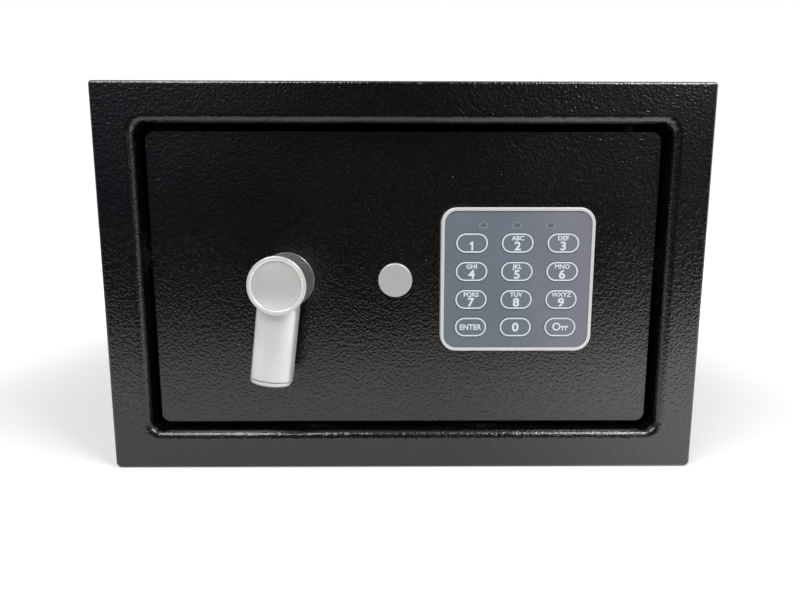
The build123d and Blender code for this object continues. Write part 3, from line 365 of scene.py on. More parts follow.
class EdgeWear(Effect):
    """Where handling has rubbed a finish: broken lines along the convex edges."""

    title = "edge wear"
    takes = {"Reach": 0.0008, "Breaks": 260.0}
    gives = ("Mask",)

    @classmethod
    def draw(cls, graph: Graph, taken: Sockets) -> Sockets:
        """Draws the bend of a rounded normal away from the real one, broken up by noise.

        Args:
            graph: The group's own tree.
            taken: The group's inputs by name.

        Returns:
            The sockets to put out, by name.
        """
        rounded = graph.add("ShaderNodeBevel", {"Radius": taken["Reach"]}, samples=4).outputs[0]
        plain = graph.add("ShaderNodeNewGeometry").outputs["Normal"]
        dot = graph.add("ShaderNodeVectorMath", {0: rounded, 1: plain}, operation="DOT_PRODUCT")
        bend = graph.span(dot.outputs["Value"], 0.86, 0.995, 1.0, 0.0)
        breaks = graph.noise(graph.place(), taken["Breaks"], 3.0, 0.6)
        return {"Mask": graph.times(bend, graph.span(breaks, 0.5, 0.66))}


class Dust(Effect):
    """Sparse pale specks of lint and dust."""

    title = "dust"
    takes = {"Specks": 160.0, "Size": 0.045}
    gives = ("Mask",)

    @classmethod
    def draw(cls, graph: Graph, taken: Sockets) -> Sockets:
        """Draws a small spot in a few of the cells, so that the specks lie far apart.

        Args:
            graph: The group's own tree.
            taken: The group's inputs by name.

        Returns:
            The sockets to put out, by name.
        """
        given = {"Vector": graph.place(), "Scale": taken["Specks"]}
        cells = graph.add("ShaderNodeTexVoronoi", given)
        spot = graph.math("LESS_THAN", cells.outputs["Distance"], taken["Size"])
        luck = graph.add("ShaderNodeSeparateColor", {0: cells.outputs["Color"]}).outputs[0]
        chosen = graph.math("GREATER_THAN", luck, 0.8)
        return {"Mask": graph.times(spot, chosen)}


LINT = (0.5, 0.5, 0.48)
SILVER_FLAKE = (0.9, 0.9, 0.9)
RUBBED_SILVER = (0.85, 0.85, 0.85)
PAINTED_HIGHLIGHT_SILVER = (0.96, 0.96, 0.95)
RUBBED_METAL = (0.82, 0.82, 0.82)
FILM_SMEAR = (0.1, 0.12, 0.13)
TINNED_PAD = (0.7, 0.68, 0.6)


@dataclass(frozen=True)
class Finish(ABC):
    """What a surface is covered with. Each finish makes one material.

    Attributes:
        name: The material's name, before the word finish.
        colour: Its main colour.
        roughness: How matt it is, or how broad its gloss is.
    """

    name: str
    colour: Colour
    roughness: float
    made: ClassVar[dict[str, bpy.types.Material]] = {}

    @abstractmethod
    def shade(self, graph: Graph) -> None:
        """Sets and links the shader's inputs.

        Args:
            graph: The material's tree and shader.
        """

    def material(self) -> bpy.types.Material:
        """Finds the finish's material, and makes it the first time it is asked for."""
        if self.name in self.made:
            return self.made[self.name]
        made = bpy.data.materials.new(f"{self.name}_finish")
        self.made[self.name] = made
        self.shade(fresh_graph(made, "BsdfPrincipled", "Material"))
        return made

    def cover(self, piece: Piece) -> None:
        """Puts the finish on a piece, in place of whatever it had.

        Args:
            piece: The piece to cover.
        """
        slots = piece.data.materials
        if len(slots) == 0:
            slots.append(None)
        for number in range(len(slots)):
            slots[number] = self.material()


@dataclass(frozen=True)
class LeatherPaint(Finish):
    """Semi-gloss powder coat with a leather grain.

    Attributes:
        valley_shade: The colour painted in the valleys of the grain, as painted shade.
        worn_and_edge_highlight: The colour of rubbed edges, which is also a painted highlight along
            them.
        grains: Grains per metre.
        depth: Height of the grain in metres.
        gloss: How strong the gloss is, where 0.5 is a plain varnish's.
    """

    valley_shade: Colour
    worn_and_edge_highlight: Colour
    grains: float
    depth: float
    gloss: float

    def shade(self, graph: Graph) -> None:
        """Grain, painted shade in its valleys, cloudy gloss, a little edge wear that is also a
        painted highlight, and a few specks of dust.

        Args:
            graph: The material's tree and shader.
        """
        grain = LeatherGrain.on(graph, Grains=self.grains)
        cloud = Cloud.on(graph, Clouds=14.0)["Share"]
        # painted shade: the grain's valleys are painted darker than the paint
        colour = graph.blend(grain["Valley"], self.colour, self.valley_shade)
        # rubbed edges, also a painted highlight along the convex edges
        colour = graph.tinge(colour, EdgeWear.on(graph)["Mask"], 0.35, self.worn_and_edge_highlight)
        colour = graph.tinge(colour, Dust.on(graph)["Mask"], 0.5, LINT)
        rough = graph.math("MULTIPLY_ADD", grain["Valley"], 0.1)
        graph.feed(rough.node.inputs[2], graph.vary(cloud, self.roughness, self.roughness + 0.06))
        graph.surface(colour, rough, grain["Height"], self.depth)
        graph.give("Specular IOR Level", self.gloss)


@dataclass(frozen=True)
class SilverPaint(Finish):
    """Satin silver paint: fine metal flakes in a clear binder.

    Attributes:
        metal: How much it behaves as metal.
        flakes: Flakes per metre.
    """

    metal: float
    flakes: float = 5200.0

    def shade(self, graph: Graph) -> None:
        """Flakes that vary colour and gloss, soft clouds, and brighter rubbed edges.

        Args:
            graph: The material's tree and shader.
        """
        flake = FineGrain.on(graph, Grains=self.flakes)
        cloud = Cloud.on(graph, Clouds=60.0)["Share"]
        wear = EdgeWear.on(graph, Reach=0.0004, Breaks=900.0)["Mask"]
        colour = graph.blend(cloud, shaded(self.colour, 0.93), self.colour)
        colour = graph.tinge(colour, flake["Fleck"], 0.35, SILVER_FLAKE)
        colour = graph.tinge(colour, wear, 0.3, RUBBED_SILVER)
        rough = graph.vary(cloud, self.roughness + 0.05, self.roughness)
        graph.surface(colour, rough, flake["Height"], 0.004 * MM)
        graph.give("Metallic", self.metal)


@dataclass(frozen=True)
class TurnedSilver(SilverPaint):
    """Silver paint on the front of a turned piece, whose side is barer.

    Attributes:
        node: The node that it covers.
        side: The side's colour.
        bare: How much the side behaves as metal.
        reach: How far back from the front the paint is whole.
        painted_highlight_ring: Inner and outer radius of the painted highlight ring round the disc.
        soft: How far the painted highlight ring fades out on each side.
        groove: How far outside the painted highlight ring the groove is.
        groove_reach: Where the groove's shade is full, and where it ends.
    """

    node: str = "handle_hub"
    side: Colour = (0.8, 0.8, 0.78)
    bare: float = 0.85
    reach: float = 0.8 * MM
    painted_highlight_ring: Point = (12.1 * MM, 13.0 * MM)
    soft: float = 0.2 * MM
    groove: float = 0.3 * MM
    groove_reach: Point = (0.1 * MM, 0.35 * MM)

    def shade(self, graph: Graph) -> None:
        """The paint, which thins out into the side's metal behind the front edge, with a painted
        highlight ring round the disc.

        Args:
            graph: The material's tree and shader.
        """
        super().shade(graph)
        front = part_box(self.node)[0].y
        where = graph.place()
        share = graph.span(graph.axes(where)[1], front + self.reach, front + 2 * self.reach)
        radius = graph.math("SQRT", graph.off_axis(where, self.node))
        inner, outer = self.painted_highlight_ring
        line = graph.span(radius, inner - self.soft, inner)
        fade = graph.span(radius, outer, outer + self.soft, 1.0, 0.0)
        line = graph.times(line, fade)
        away = graph.math("ABSOLUTE", graph.math("SUBTRACT", radius, outer + self.groove))
        groove = graph.span(away, *self.groove_reach, 1.0, 0.0)
        painted = graph.given("Base Color")
        # painted highlight: a bright ring painted into the colour round the disc
        painted = graph.blend(line, painted, PAINTED_HIGHLIGHT_SILVER)
        painted = graph.tinge(painted, groove, 0.5, self.side)
        graph.give("Base Color", graph.blend(share, painted, self.side))
        graph.give("Metallic", graph.vary(share, self.metal, self.bare))


@dataclass(frozen=True)
class DomedSilver(SilverPaint):
    """Silver paint on a disc whose face is a little domed.

    Attributes:
        node: The node that it covers.
        dome: How far the middle stands in front of the rim.
    """

    node: str = "hub_insert"
    dome: float = 0.6 * MM

    def shade(self, graph: Graph) -> None:
        """The paint, with the dome's slope under its flakes.

        Args:
            graph: The material's tree and shader.
        """
        super().shade(graph)
        low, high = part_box(self.node)
        square = graph.off_axis(graph.place(), self.node)
        share = graph.math("DIVIDE", square, ((high.x - low.x) / 2) ** 2)
        slope = graph.bump(graph.math("SUBTRACT", 1.0, share), self.dome)
        graph.feed(graph.given("Normal").node.inputs["Normal"], slope.outputs[0])


@dataclass(frozen=True)
class Moulded(Finish):
    """Moulded plastic, nylon or rubber with its mould's grain.

    Attributes:
        grains: Grains per metre.
        depth: Height of the grain in metres.
    """

    grains: float = 2600.0
    depth: float = 0.02 * MM

    def shade(self, graph: Graph) -> None:
        """Grain, clouds and scuffed edges.

        Args:
            graph: The material's tree and shader.
        """
        grain = FineGrain.on(graph, Grains=self.grains)
        cloud = Cloud.on(graph, Clouds=45.0)["Share"]
        wear = EdgeWear.on(graph, Reach=0.0005, Breaks=700.0)["Mask"]
        colour = graph.blend(cloud, shaded(self.colour, 0.88), self.colour)
        colour = graph.tinge(colour, wear, 0.5, shaded(self.colour, 1.25, 0.03))
        rough = graph.vary(cloud, self.roughness + 0.07, self.roughness)
        graph.surface(colour, rough, grain["Height"], self.depth)


@dataclass(frozen=True)
class Metal(Finish):
    """Plated or turned metal with the marks of its brushing or turning.

    Attributes:
        tint: The colour of its stains and passivation.
        lay: The way that the brushing runs.
    """

    tint: Colour
    lay: Axis = Axis.Z

    def shade(self, graph: Graph) -> None:
        """Fine lines along the lay, clouds of the plating's tint, and bright edges.

        Args:
            graph: The material's tree and shader.
        """
        lines = graph.noise(graph.stretched(self.lay.value), 2400.0, 2.0, 0.6)
        wear = EdgeWear.on(graph, Reach=0.0004, Breaks=600.0)["Mask"]
        colour = graph.tinge(self.colour, Cloud.on(graph, Clouds=70.0)["Share"], 0.6, self.tint)
        colour = graph.tinge(colour, wear, 0.6, RUBBED_METAL)
        rough = graph.span(lines, 0.3, 0.7, self.roughness, self.roughness + 0.14)
        graph.surface(colour, rough, lines, 0.006 * MM)
        graph.give("Metallic", 1.0)


@dataclass(frozen=True)
class Film(Finish):
    """Printed matt film of the keypad, whose colour is painted lighter towards the right as a
    painted sheen.

    Attributes:
        right: Its colour at the right of the keypad, lighter by a painted sheen.
        start: Where the painted sheen starts, as a share of the keypad's width.
    """

    right: Colour
    start: float = 0.3

    def shade(self, graph: Graph) -> None:
        """A painted sheen that lightens the film towards the right, and the film's fine grain.

        Args:
            graph: The material's tree and shader.
        """
        low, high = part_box("keypad_overlay")
        across = graph.axes(graph.place())[0]
        share = graph.span(across, low.x + self.start * (high.x - low.x), high.x)
        cloud = Cloud.on(graph, Clouds=40.0)["Share"]
        # painted sheen: the colour is blended to a lighter one towards the right, where light from
        # the right would show
        colour = graph.blend(share, self.colour, self.right)
        colour = graph.tinge(colour, cloud, 0.12, FILM_SMEAR)
        rough = graph.vary(cloud, self.roughness + 0.05, self.roughness)
        grain = FineGrain.on(graph, Grains=4200.0)["Height"]
        graph.surface(colour, rough, grain, 0.006 * MM)


@dataclass(frozen=True)
class Ink(Finish):
    """Screen-printed ink, a little uneven where it lies thin.

    Attributes:
        thin: Its colour where the film shows through.
    """

    thin: Colour

    def shade(self, graph: Graph) -> None:
        """Thin spots from fine noise.

        Args:
            graph: The material's tree and shader.
        """
        spots = graph.noise(graph.place(), 1500.0, 3.0, 0.6)
        colour = graph.blend(graph.span(spots, 0.35, 0.5, 0.35, 0.0), self.colour, self.thin)
        rough = graph.span(spots, 0.3, 0.7, self.roughness + 0.12, self.roughness)
        graph.give("Base Color", colour)
        graph.give("Roughness", rough)


@dataclass(frozen=True)
class Board(Finish):
    """Circuit board: green lacquer over copper tracks, with a few bare pads.

    Attributes:
        track: The lacquer's colour over a track.
    """

    track: Colour

    def shade(self, graph: Graph) -> None:
        """Tracks as the edges of square cells, and pads at some of their middles.

        Args:
            graph: The material's tree and shader.
        """
        where = graph.stretched((1.0, 0.2, 1.0))
        given = {"Vector": where, "Scale": 260.0, "Randomness": 0.55}
        cells = graph.add("ShaderNodeTexVoronoi", given, distance="CHEBYCHEV")
        track = graph.span(cells.outputs["Distance"], 0.4, 0.44)
        pad = graph.math("LESS_THAN", cells.outputs["Distance"], 0.12)
        luck = graph.add("ShaderNodeSeparateColor", {0: cells.outputs["Color"]}).outputs[1]
        pad = graph.times(pad, graph.math("GREATER_THAN", luck, 0.5))
        colour = graph.blend(track, self.colour, self.track)
        colour = graph.blend(pad, colour, TINNED_PAD)
        graph.surface(colour, graph.vary(pad, self.roughness, 0.4), track, 0.03 * MM)
        graph.give("Metallic", pad)


@dataclass(frozen=True)
class Winding(Finish):
    """Fine copper wire wound on a bobbin.

    Attributes:
        gap: The colour between its turns.
        pitch: Distance between turns in metres.
    """

    gap: Colour
    pitch: float = 0.45 * MM

    WAVE_RATE: ClassVar[float] = 20.0

    def shade(self, graph: Graph) -> None:
        """Rings round the coil's axis, which is upright.

        Args:
            graph: The material's tree and shader.
        """
        scale = math.tau / (self.WAVE_RATE * self.pitch)
        given = {"Vector": graph.place(), "Scale": scale, "Distortion": 0.4}
        wave = graph.add("ShaderNodeTexWave", given, bands_direction="Z").outputs["Fac"]
        colour = graph.blend(graph.span(wave, 0.1, 0.6), self.gap, self.colour)
        rough = graph.vary(wave, self.roughness + 0.25, self.roughness)
        graph.surface(colour, rough, wave, 0.1 * MM)


@dataclass(frozen=True)
class Felt(Finish):
    """Needled felt: a soft nap of short fibres lying every way.

    Attributes:
        shadow: Its colour between the fibres.
    """

    shadow: Colour

    def shade(self, graph: Graph) -> None:
        """Two layers of stretched noise as crossing fibres, over broad pressed patches.

        Args:
            graph: The material's tree and shader.
        """
        along = graph.noise(graph.stretched((0.25, 1.0, 1.0)), 2600.0, 3.0, 0.65)
        across = graph.noise(graph.stretched((1.0, 0.25, 1.0)), 2200.0, 3.0, 0.65)
        fibres = graph.math("MAXIMUM", along, across)
        pressed = Cloud.on(graph, Clouds=20.0)["Share"]
        colour = graph.blend(graph.span(fibres, 0.42, 0.68), self.shadow, self.colour)
        colour = graph.tinge(colour, pressed, 0.3, shaded(self.colour, 0.8))
        rough = graph.vary(pressed, self.roughness + 0.09, self.roughness)
        graph.surface(colour, rough, fibres, 0.5 * MM)
        graph.give("Sheen Weight", 0.35)
        graph.give("Sheen Roughness", 0.5)


TEXTURED_BLACK = LeatherPaint(
    "textured_black", colour=(0.0026, 0.0026, 0.0027), valley_shade=(0.0014, 0.0014, 0.0014),
    worn_and_edge_highlight=(0.12, 0.12, 0.118), roughness=0.14, grains=670.0, depth=0.075 * MM, gloss=0.9,
)
THIN_BLACK = LeatherPaint(
    "thin_black", colour=(0.0022, 0.0022, 0.0023), valley_shade=(0.0014, 0.0014, 0.0014),
    worn_and_edge_highlight=(0.1, 0.1, 0.098), roughness=0.5, grains=900.0, depth=0.02 * MM, gloss=0.15,
)
SMOOTH_BLACK = LeatherPaint(
    "smooth_black", colour=(0.012, 0.012, 0.013), valley_shade=(0.009, 0.009, 0.01),
    worn_and_edge_highlight=(0.2, 0.2, 0.2), roughness=0.32, grains=900.0, depth=0.012 * MM, gloss=0.5,
)
SATIN_SILVER = SilverPaint("satin_silver", colour=(0.84, 0.84, 0.82), metal=0.35, roughness=0.3)
HUB_SILVER = TurnedSilver("hub_silver", colour=(0.78, 0.78, 0.76), metal=0.3, roughness=0.26)
ROSETTE_SILVER = SilverPaint("rosette_silver", colour=(0.8, 0.8, 0.78), metal=0.8, roughness=0.24)
DISC_SILVER = DomedSilver("disc_silver", colour=(0.9, 0.89, 0.87), metal=0.48, roughness=0.24)
CAP_SILVER = SilverPaint("cap_silver", colour=(0.62, 0.62, 0.6), metal=0.4, roughness=0.35)
BEZEL_SILVER = SilverPaint("bezel_silver", colour=(0.8, 0.78, 0.76), metal=0.25, roughness=0.34)
ZINC = Metal("zinc", colour=(0.6, 0.62, 0.64), tint=(0.5, 0.53, 0.58), roughness=0.32)
BRIGHT_STEEL = Metal(
    "bright_steel", colour=(0.64, 0.63, 0.61), tint=(0.56, 0.55, 0.54), roughness=0.2, lay=Axis.Y,
)
BRASS = Metal(
    "brass", colour=(0.72, 0.52, 0.24), tint=(0.58, 0.4, 0.18), roughness=0.28, lay=Axis.X,
)
OVERLAY = Film("overlay", colour=(0.135, 0.17, 0.205), right=(0.2, 0.2, 0.245), roughness=0.42)
LEGEND_INK = Ink("legend_ink", colour=(0.72, 0.78, 0.84), thin=(0.4, 0.45, 0.5), roughness=0.38)
MARK_INK = Ink("mark_ink", colour=(0.27, 0.31, 0.35), thin=(0.2, 0.23, 0.27), roughness=0.38)
SMOKED_INK = Ink(
    "smoked_ink", colour=(0.108, 0.132, 0.15), thin=(0.12, 0.145, 0.165), roughness=0.38,
)
DARK_LENS = Moulded(
    "dark_lens", colour=(0.145, 0.175, 0.21), roughness=0.35, grains=900.0, depth=0.002 * MM,
)
BLACK_PLASTIC = Moulded("black_plastic", colour=(0.02, 0.02, 0.021), roughness=0.5)
WHITE_NYLON = Moulded("white_nylon", colour=(0.78, 0.77, 0.73), roughness=0.45)
RIBBON_GREY = Moulded("ribbon_grey", colour=(0.42, 0.42, 0.43), roughness=0.5, grains=1400.0)
CELL_JACKET = Moulded(
    "cell_jacket", colour=(0.09, 0.1, 0.12), roughness=0.28, grains=800.0, depth=0.004 * MM,
)
RUBBER = Moulded(
    "rubber", colour=(0.018, 0.018, 0.018), roughness=0.78, grains=1800.0, depth=0.04 * MM,
)
RED_PLASTIC = Moulded("red_plastic", colour=(0.55, 0.02, 0.018), roughness=0.36)
BOARD_GREEN = Board(
    "board_green", colour=(0.012, 0.105, 0.04), track=(0.03, 0.2, 0.075), roughness=0.28,
)
COPPER_WIRE = Winding(
    "copper_wire", colour=(0.55, 0.2, 0.08), gap=(0.12, 0.04, 0.02), roughness=0.35,
)
GREY_FELT = Felt(
    "grey_felt", colour=(0.115, 0.117, 0.125), shadow=(0.035, 0.036, 0.04), roughness=0.88,
)


def rounded(width: float, height: float, radius: float, steps: int = 12) -> list[Point]:
    """Outline of a rectangle with rounded corners, anticlockwise about its middle.

    Args:
        width: Its full width.
        height: Its full height.
        radius: The radius of its corners.
        steps: Sides in each corner.

    Returns:
        The outline's points.
    """
    across, up = width / 2 - radius, height / 2 - radius
    points = []
    for quarter, (right, top) in enumerate(((1, 1), (-1, 1), (-1, -1), (1, -1))):
        for step in range(steps + 1):
            angle = math.radians(90 * (quarter + step / steps))
            x, z = radius * math.cos(angle), radius * math.sin(angle)
            points.append((right * across + x, top * up + z))
    return points


def circle(radius: float, steps: int = 48) -> list[Point]:
    """Points round a circle, anticlockwise."""
    turns = (math.tau * step / steps for step in range(steps))
    return [(radius * math.cos(turn), radius * math.sin(turn)) for turn in turns]


def in_mm(points: Iterable[Point]) -> list[Point]:
    """Points given in millimetres, in metres."""
    return [(x * MM, z * MM) for x, z in points]


@dataclass
class Print:
    """Flat shapes of ink on a face that looks forward.

    Attributes:
        mesh: The mesh that they are added to.
        middle: What their points are measured from, to the right and up.
        face: How far back the printed face is.
        ink: How far the ink stands in front of the face, and reaches into it.
    """

    mesh: Mesh
    middle: Vector
    face: float
    ink: float

    def upright(self, outline: Iterable[Point], y: float) -> list[bmesh.types.BMVert]:
        """Adds the points of an outline at one depth."""
        return [self.mesh.verts.new((self.middle.x + x, y, self.middle.z + z)) for x, z in outline]

    def ring(self, outer: list[Point], inner: list[Point]) -> None:
        """Adds a ring between two outlines that have as many points as each other.

        Args:
            outer: Its outer outline.
            inner: Its inner outline.
        """
        front, back = self.face - self.ink, self.face + self.ink
        edges = ((outer, front), (inner, front), (inner, back), (outer, back))
        loops = [self.upright(outline, y) for outline, y in edges]
        for near, far in zip(loops, loops[1:] + loops[:1]):
            for step in range(len(outer)):
                after = (step + 1) % len(outer)
                self.mesh.faces.new((near[step], near[after], far[after], far[step]))

    def plate(self, outline: list[Point]) -> None:
        """Adds a filled outline.

        Args:
            outline: Its points.
        """
        near = self.upright(outline, self.face - self.ink)
        far = self.upright(outline, self.face + self.ink)
        self.mesh.faces.new(near)
        self.mesh.faces.new(far[::-1])
        for step in range(len(near)):
            after = (step + 1) % len(near)
            self.mesh.faces.new((near[after], near[step], far[step], far[after]))


def add_object(name: str, data: bpy.types.ID) -> Piece:
    """Makes an object and puts it in the scene.

    Args:
        name: The object's name.
        data: Its mesh, curve, lamp or camera.

    Returns:
        The new object.
    """
    made = bpy.data.objects.new(name, data)
    bpy.context.scene.collection.objects.link(made)
    return made


def piece(name: str, bm: Mesh, smooth: bool = False) -> Piece:
    """Makes an object of a mesh.

    Args:
        name: The piece's name.
        bm: Its mesh, which is used up.
        smooth: Whether its faces are shaded smooth.

    Returns:
        The new object.
    """
    bmesh.ops.recalc_face_normals(bm, faces=bm.faces)
    for face in bm.faces:
        face.smooth = smooth
    mesh = bpy.data.meshes.new(name)
    bm.to_mesh(mesh)
    bm.free()
    return add_object(name, mesh)


def covered(*lists: tuple[Finish, str]) -> dict[str, Finish]:
    """Gives each node the finish that it is listed under."""
    return {node: finish for finish, nodes in lists for node in nodes.split()}


@dataclass
class Assembly(ABC):
    """A sub-assembly of the safe, which dresses its nodes and builds what the model leaves out."""

    title: ClassVar[str]
    finishes: ClassVar[dict[str, Finish]]

    def build(self) -> None:
        """Dresses the nodes and then adds this sub-assembly's own pieces."""
        for node, finish in self.finishes.items():
            finish.cover(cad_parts[node])
            log.info("%s: %s in %s", self.title, node, finish.name)
        self.add_pieces()

    def add_pieces(self) -> None:
        """Adds pieces of its own, where it has any."""

    def keep(self, made: Piece, finish: Finish, body: str, slot: str) -> None:
        """Finishes a new piece and fixes it to its body.

        Args:
            made: The new piece.
            finish: What it is covered with.
            body: The body that it rides on.
            slot: The record's material slot that it belongs to, which is not used.
        """
        finish.cover(made)
        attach(made, body)
        log.info("%s: %s, %d faces, on %s", self.title, made.name, len(made.data.polygons), body)


@dataclass
class Cabinet(Assembly):
    """The fixed body: folded shell, frame round the door, hinge plates and door stops."""

    title = "cabinet"
    finishes = covered(
        (RUBBER, "stop_pads"),
        (TEXTURED_BLACK, "body_pan top_panel back_panel front_frame"),
        (THIN_BLACK, "hinge_plates door_stops"),
    )


@dataclass
class FloorMat(Assembly):
    """Felt mat that lies on the cabinet's floor.

    Attributes:
        width: Its cut width.
        length: Its cut length, from front to back.
        corner: Radius of its corners.
        hole: Radius of its two holes over the anchor holes.
        spacing: Distance of each hole from the middle.
        weave: Distance between the lines that its mesh is cut along.
        lift: How far the nap rises and falls.
        edge: Radius of its pressed edges, as a share of its thickness.
        waves: How many times a metre the nap rises.
    """

    title = "floor mat"
    finishes = {}
    width: float = 303 * MM
    length: float = 193 * MM
    corner: float = 4 * MM
    hole: float = 7 * MM
    spacing: float = 75 * MM
    weave: float = 6 * MM
    lift: float = 0.12 * MM
    edge: float = 0.3
    waves: float = 90.0

    def outline(self, curve: bpy.types.Curve, points: list[Point], x: float) -> None:
        """Adds a closed line to the flat curve that the mat is cut by.

        Args:
            curve: The flat curve.
            points: The line's points.
            x: How far to the right the line's middle is.
        """
        line = curve.splines.new("POLY")
        line.points.add(len(points) - 1)
        for point, (across, along) in zip(line.points, points):
            point.co = (x + across, along, 0.0, 1.0)
        line.use_cyclic_u = True

    def cut(self) -> Mesh:
        """Cuts the mat with rounded edges, and divides it finely enough to be uneven."""
        low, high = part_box("floor_mat")
        thick = high.z - low.z
        edge = thick * self.edge
        curve = bpy.data.curves.new("mat_cut", "CURVE")
        curve.dimensions = "2D"
        curve.fill_mode = "BOTH"
        curve.extrude = thick / 2 - edge
        curve.bevel_depth = edge
        curve.bevel_resolution = 2
        curve.offset = -edge
        self.outline(curve, rounded(self.width, self.length, self.corner), 0.0)
        for side in (-1, 1):
            self.outline(curve, circle(self.hole, 32), side * self.spacing)
        cutter = add_object("mat_cut", curve)
        bpy.context.view_layer.update()
        settled = cutter.evaluated_get(bpy.context.evaluated_depsgraph_get())
        mesh = bpy.data.meshes.new_from_object(settled)
        bpy.data.objects.remove(cutter)
        bpy.data.curves.remove(curve)
        mesh.transform(Matrix.Translation((low + high) / 2))
        bm = bmesh.new()
        bm.from_mesh(mesh)
        bpy.data.meshes.remove(mesh)
        bmesh.ops.remove_doubles(bm, verts=bm.verts, dist=0.001 * MM)
        for axis, span in ((0, self.width), (1, self.length)):
            count = int(span / self.weave)
            for step in range(1, count):
                normal, at = [0.0, 0.0, 0.0], [0.0, 0.0, 0.0]
                normal[axis] = 1.0
                at[axis] = (step / count - 0.5) * span
                geometry = bm.verts[:] + bm.edges[:] + bm.faces[:]
                cut = {"plane_co": at, "plane_no": normal, "dist": 0.0001 * MM}
                bmesh.ops.bisect_plane(bm, geom=geometry, **cut)
        return bm

    def add_pieces(self) -> None:
        """Cuts the mat, roughens its top and lays it on the floor."""
        low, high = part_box("floor_mat")
        bm = self.cut()
        for vert in bm.verts:
            if vert.co.z > (low.z + high.z) / 2:
                vert.co.z -= self.lift * (1.0 + noise.noise(vert.co * self.waves)) / 2
        mat = piece("felt_mat", bm, smooth=True)
        self.keep(mat, GREY_FELT, Body.CABINET.value, "grey_felt")
        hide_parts("floor_mat")


@dataclass
class Door(Assembly):
    """Door plate with its hinges, bolt guides and inner cover."""

    title = "door"
    finishes = covered(
        (TEXTURED_BLACK, "door_plate"),
        (SMOOTH_BLACK, "lock_case hinge_pins"),
        (ZINC, "case_nuts hinge_brackets bolt_guides"),
    )


@dataclass(frozen=True)
class Line:
    """One line of a key's legend.

    Attributes:
        text: What it says.
        tall: Height of its capitals.
        wide: How much wider than the plain letters it is.
        weight: How much thicker its strokes are, as a share of the letters' size.
        rise: How far above the key's middle it is.
    """

    text: str
    tall: float
    wide: float
    weight: float
    rise: float

    CAP: ClassVar[float] = 0.69
    DEPTH: ClassVar[float] = 0.01
    CURVE_STEPS: ClassVar[int] = 5

    def add(self, ink: Print) -> None:
        """Adds the line's letters.

        Args:
            ink: The print on their key.
        """
        curve = bpy.data.curves.new("letters", "FONT")
        curve.body = self.text
        curve.offset = self.weight
        curve.extrude = self.DEPTH
        curve.resolution_u = self.CURVE_STEPS
        letters = bpy.data.objects.new("letters", curve)
        mesh = bpy.data.meshes.new_from_object(letters)
        bpy.data.objects.remove(letters)
        bpy.data.curves.remove(curve)
        spread = [vert.co.x for vert in mesh.vertices]
        centre = (min(spread) + max(spread)) / 2
        size = self.tall / (self.CAP + 2 * self.weight)
        for vert in mesh.vertices:
            x, z, depth = vert.co
            vert.co = (
                ink.middle.x + (x - centre) * size * self.wide,
                ink.face - ink.ink if depth > 0 else ink.face + ink.ink,
                ink.middle.z + self.rise + (z - self.CAP / 2) * size,
            )
        ink.mesh.from_mesh(mesh)
        bpy.data.meshes.remove(mesh)


LETTERS = ("ABC", "DEF", "GHI", "JKL", "MNO", "PQRS", "TUV", "WXYZ")


def letters(text: str) -> Line:
    """The small letters over a digit."""
    return Line(text, tall=2.35 * MM, wide=1.06, weight=0.03, rise=2.56 * MM)


def digit(text: str) -> Line:
    """The large digit under the letters."""
    return Line(text, tall=4.6 * MM, wide=1.12, weight=0.03, rise=-1.45 * MM)


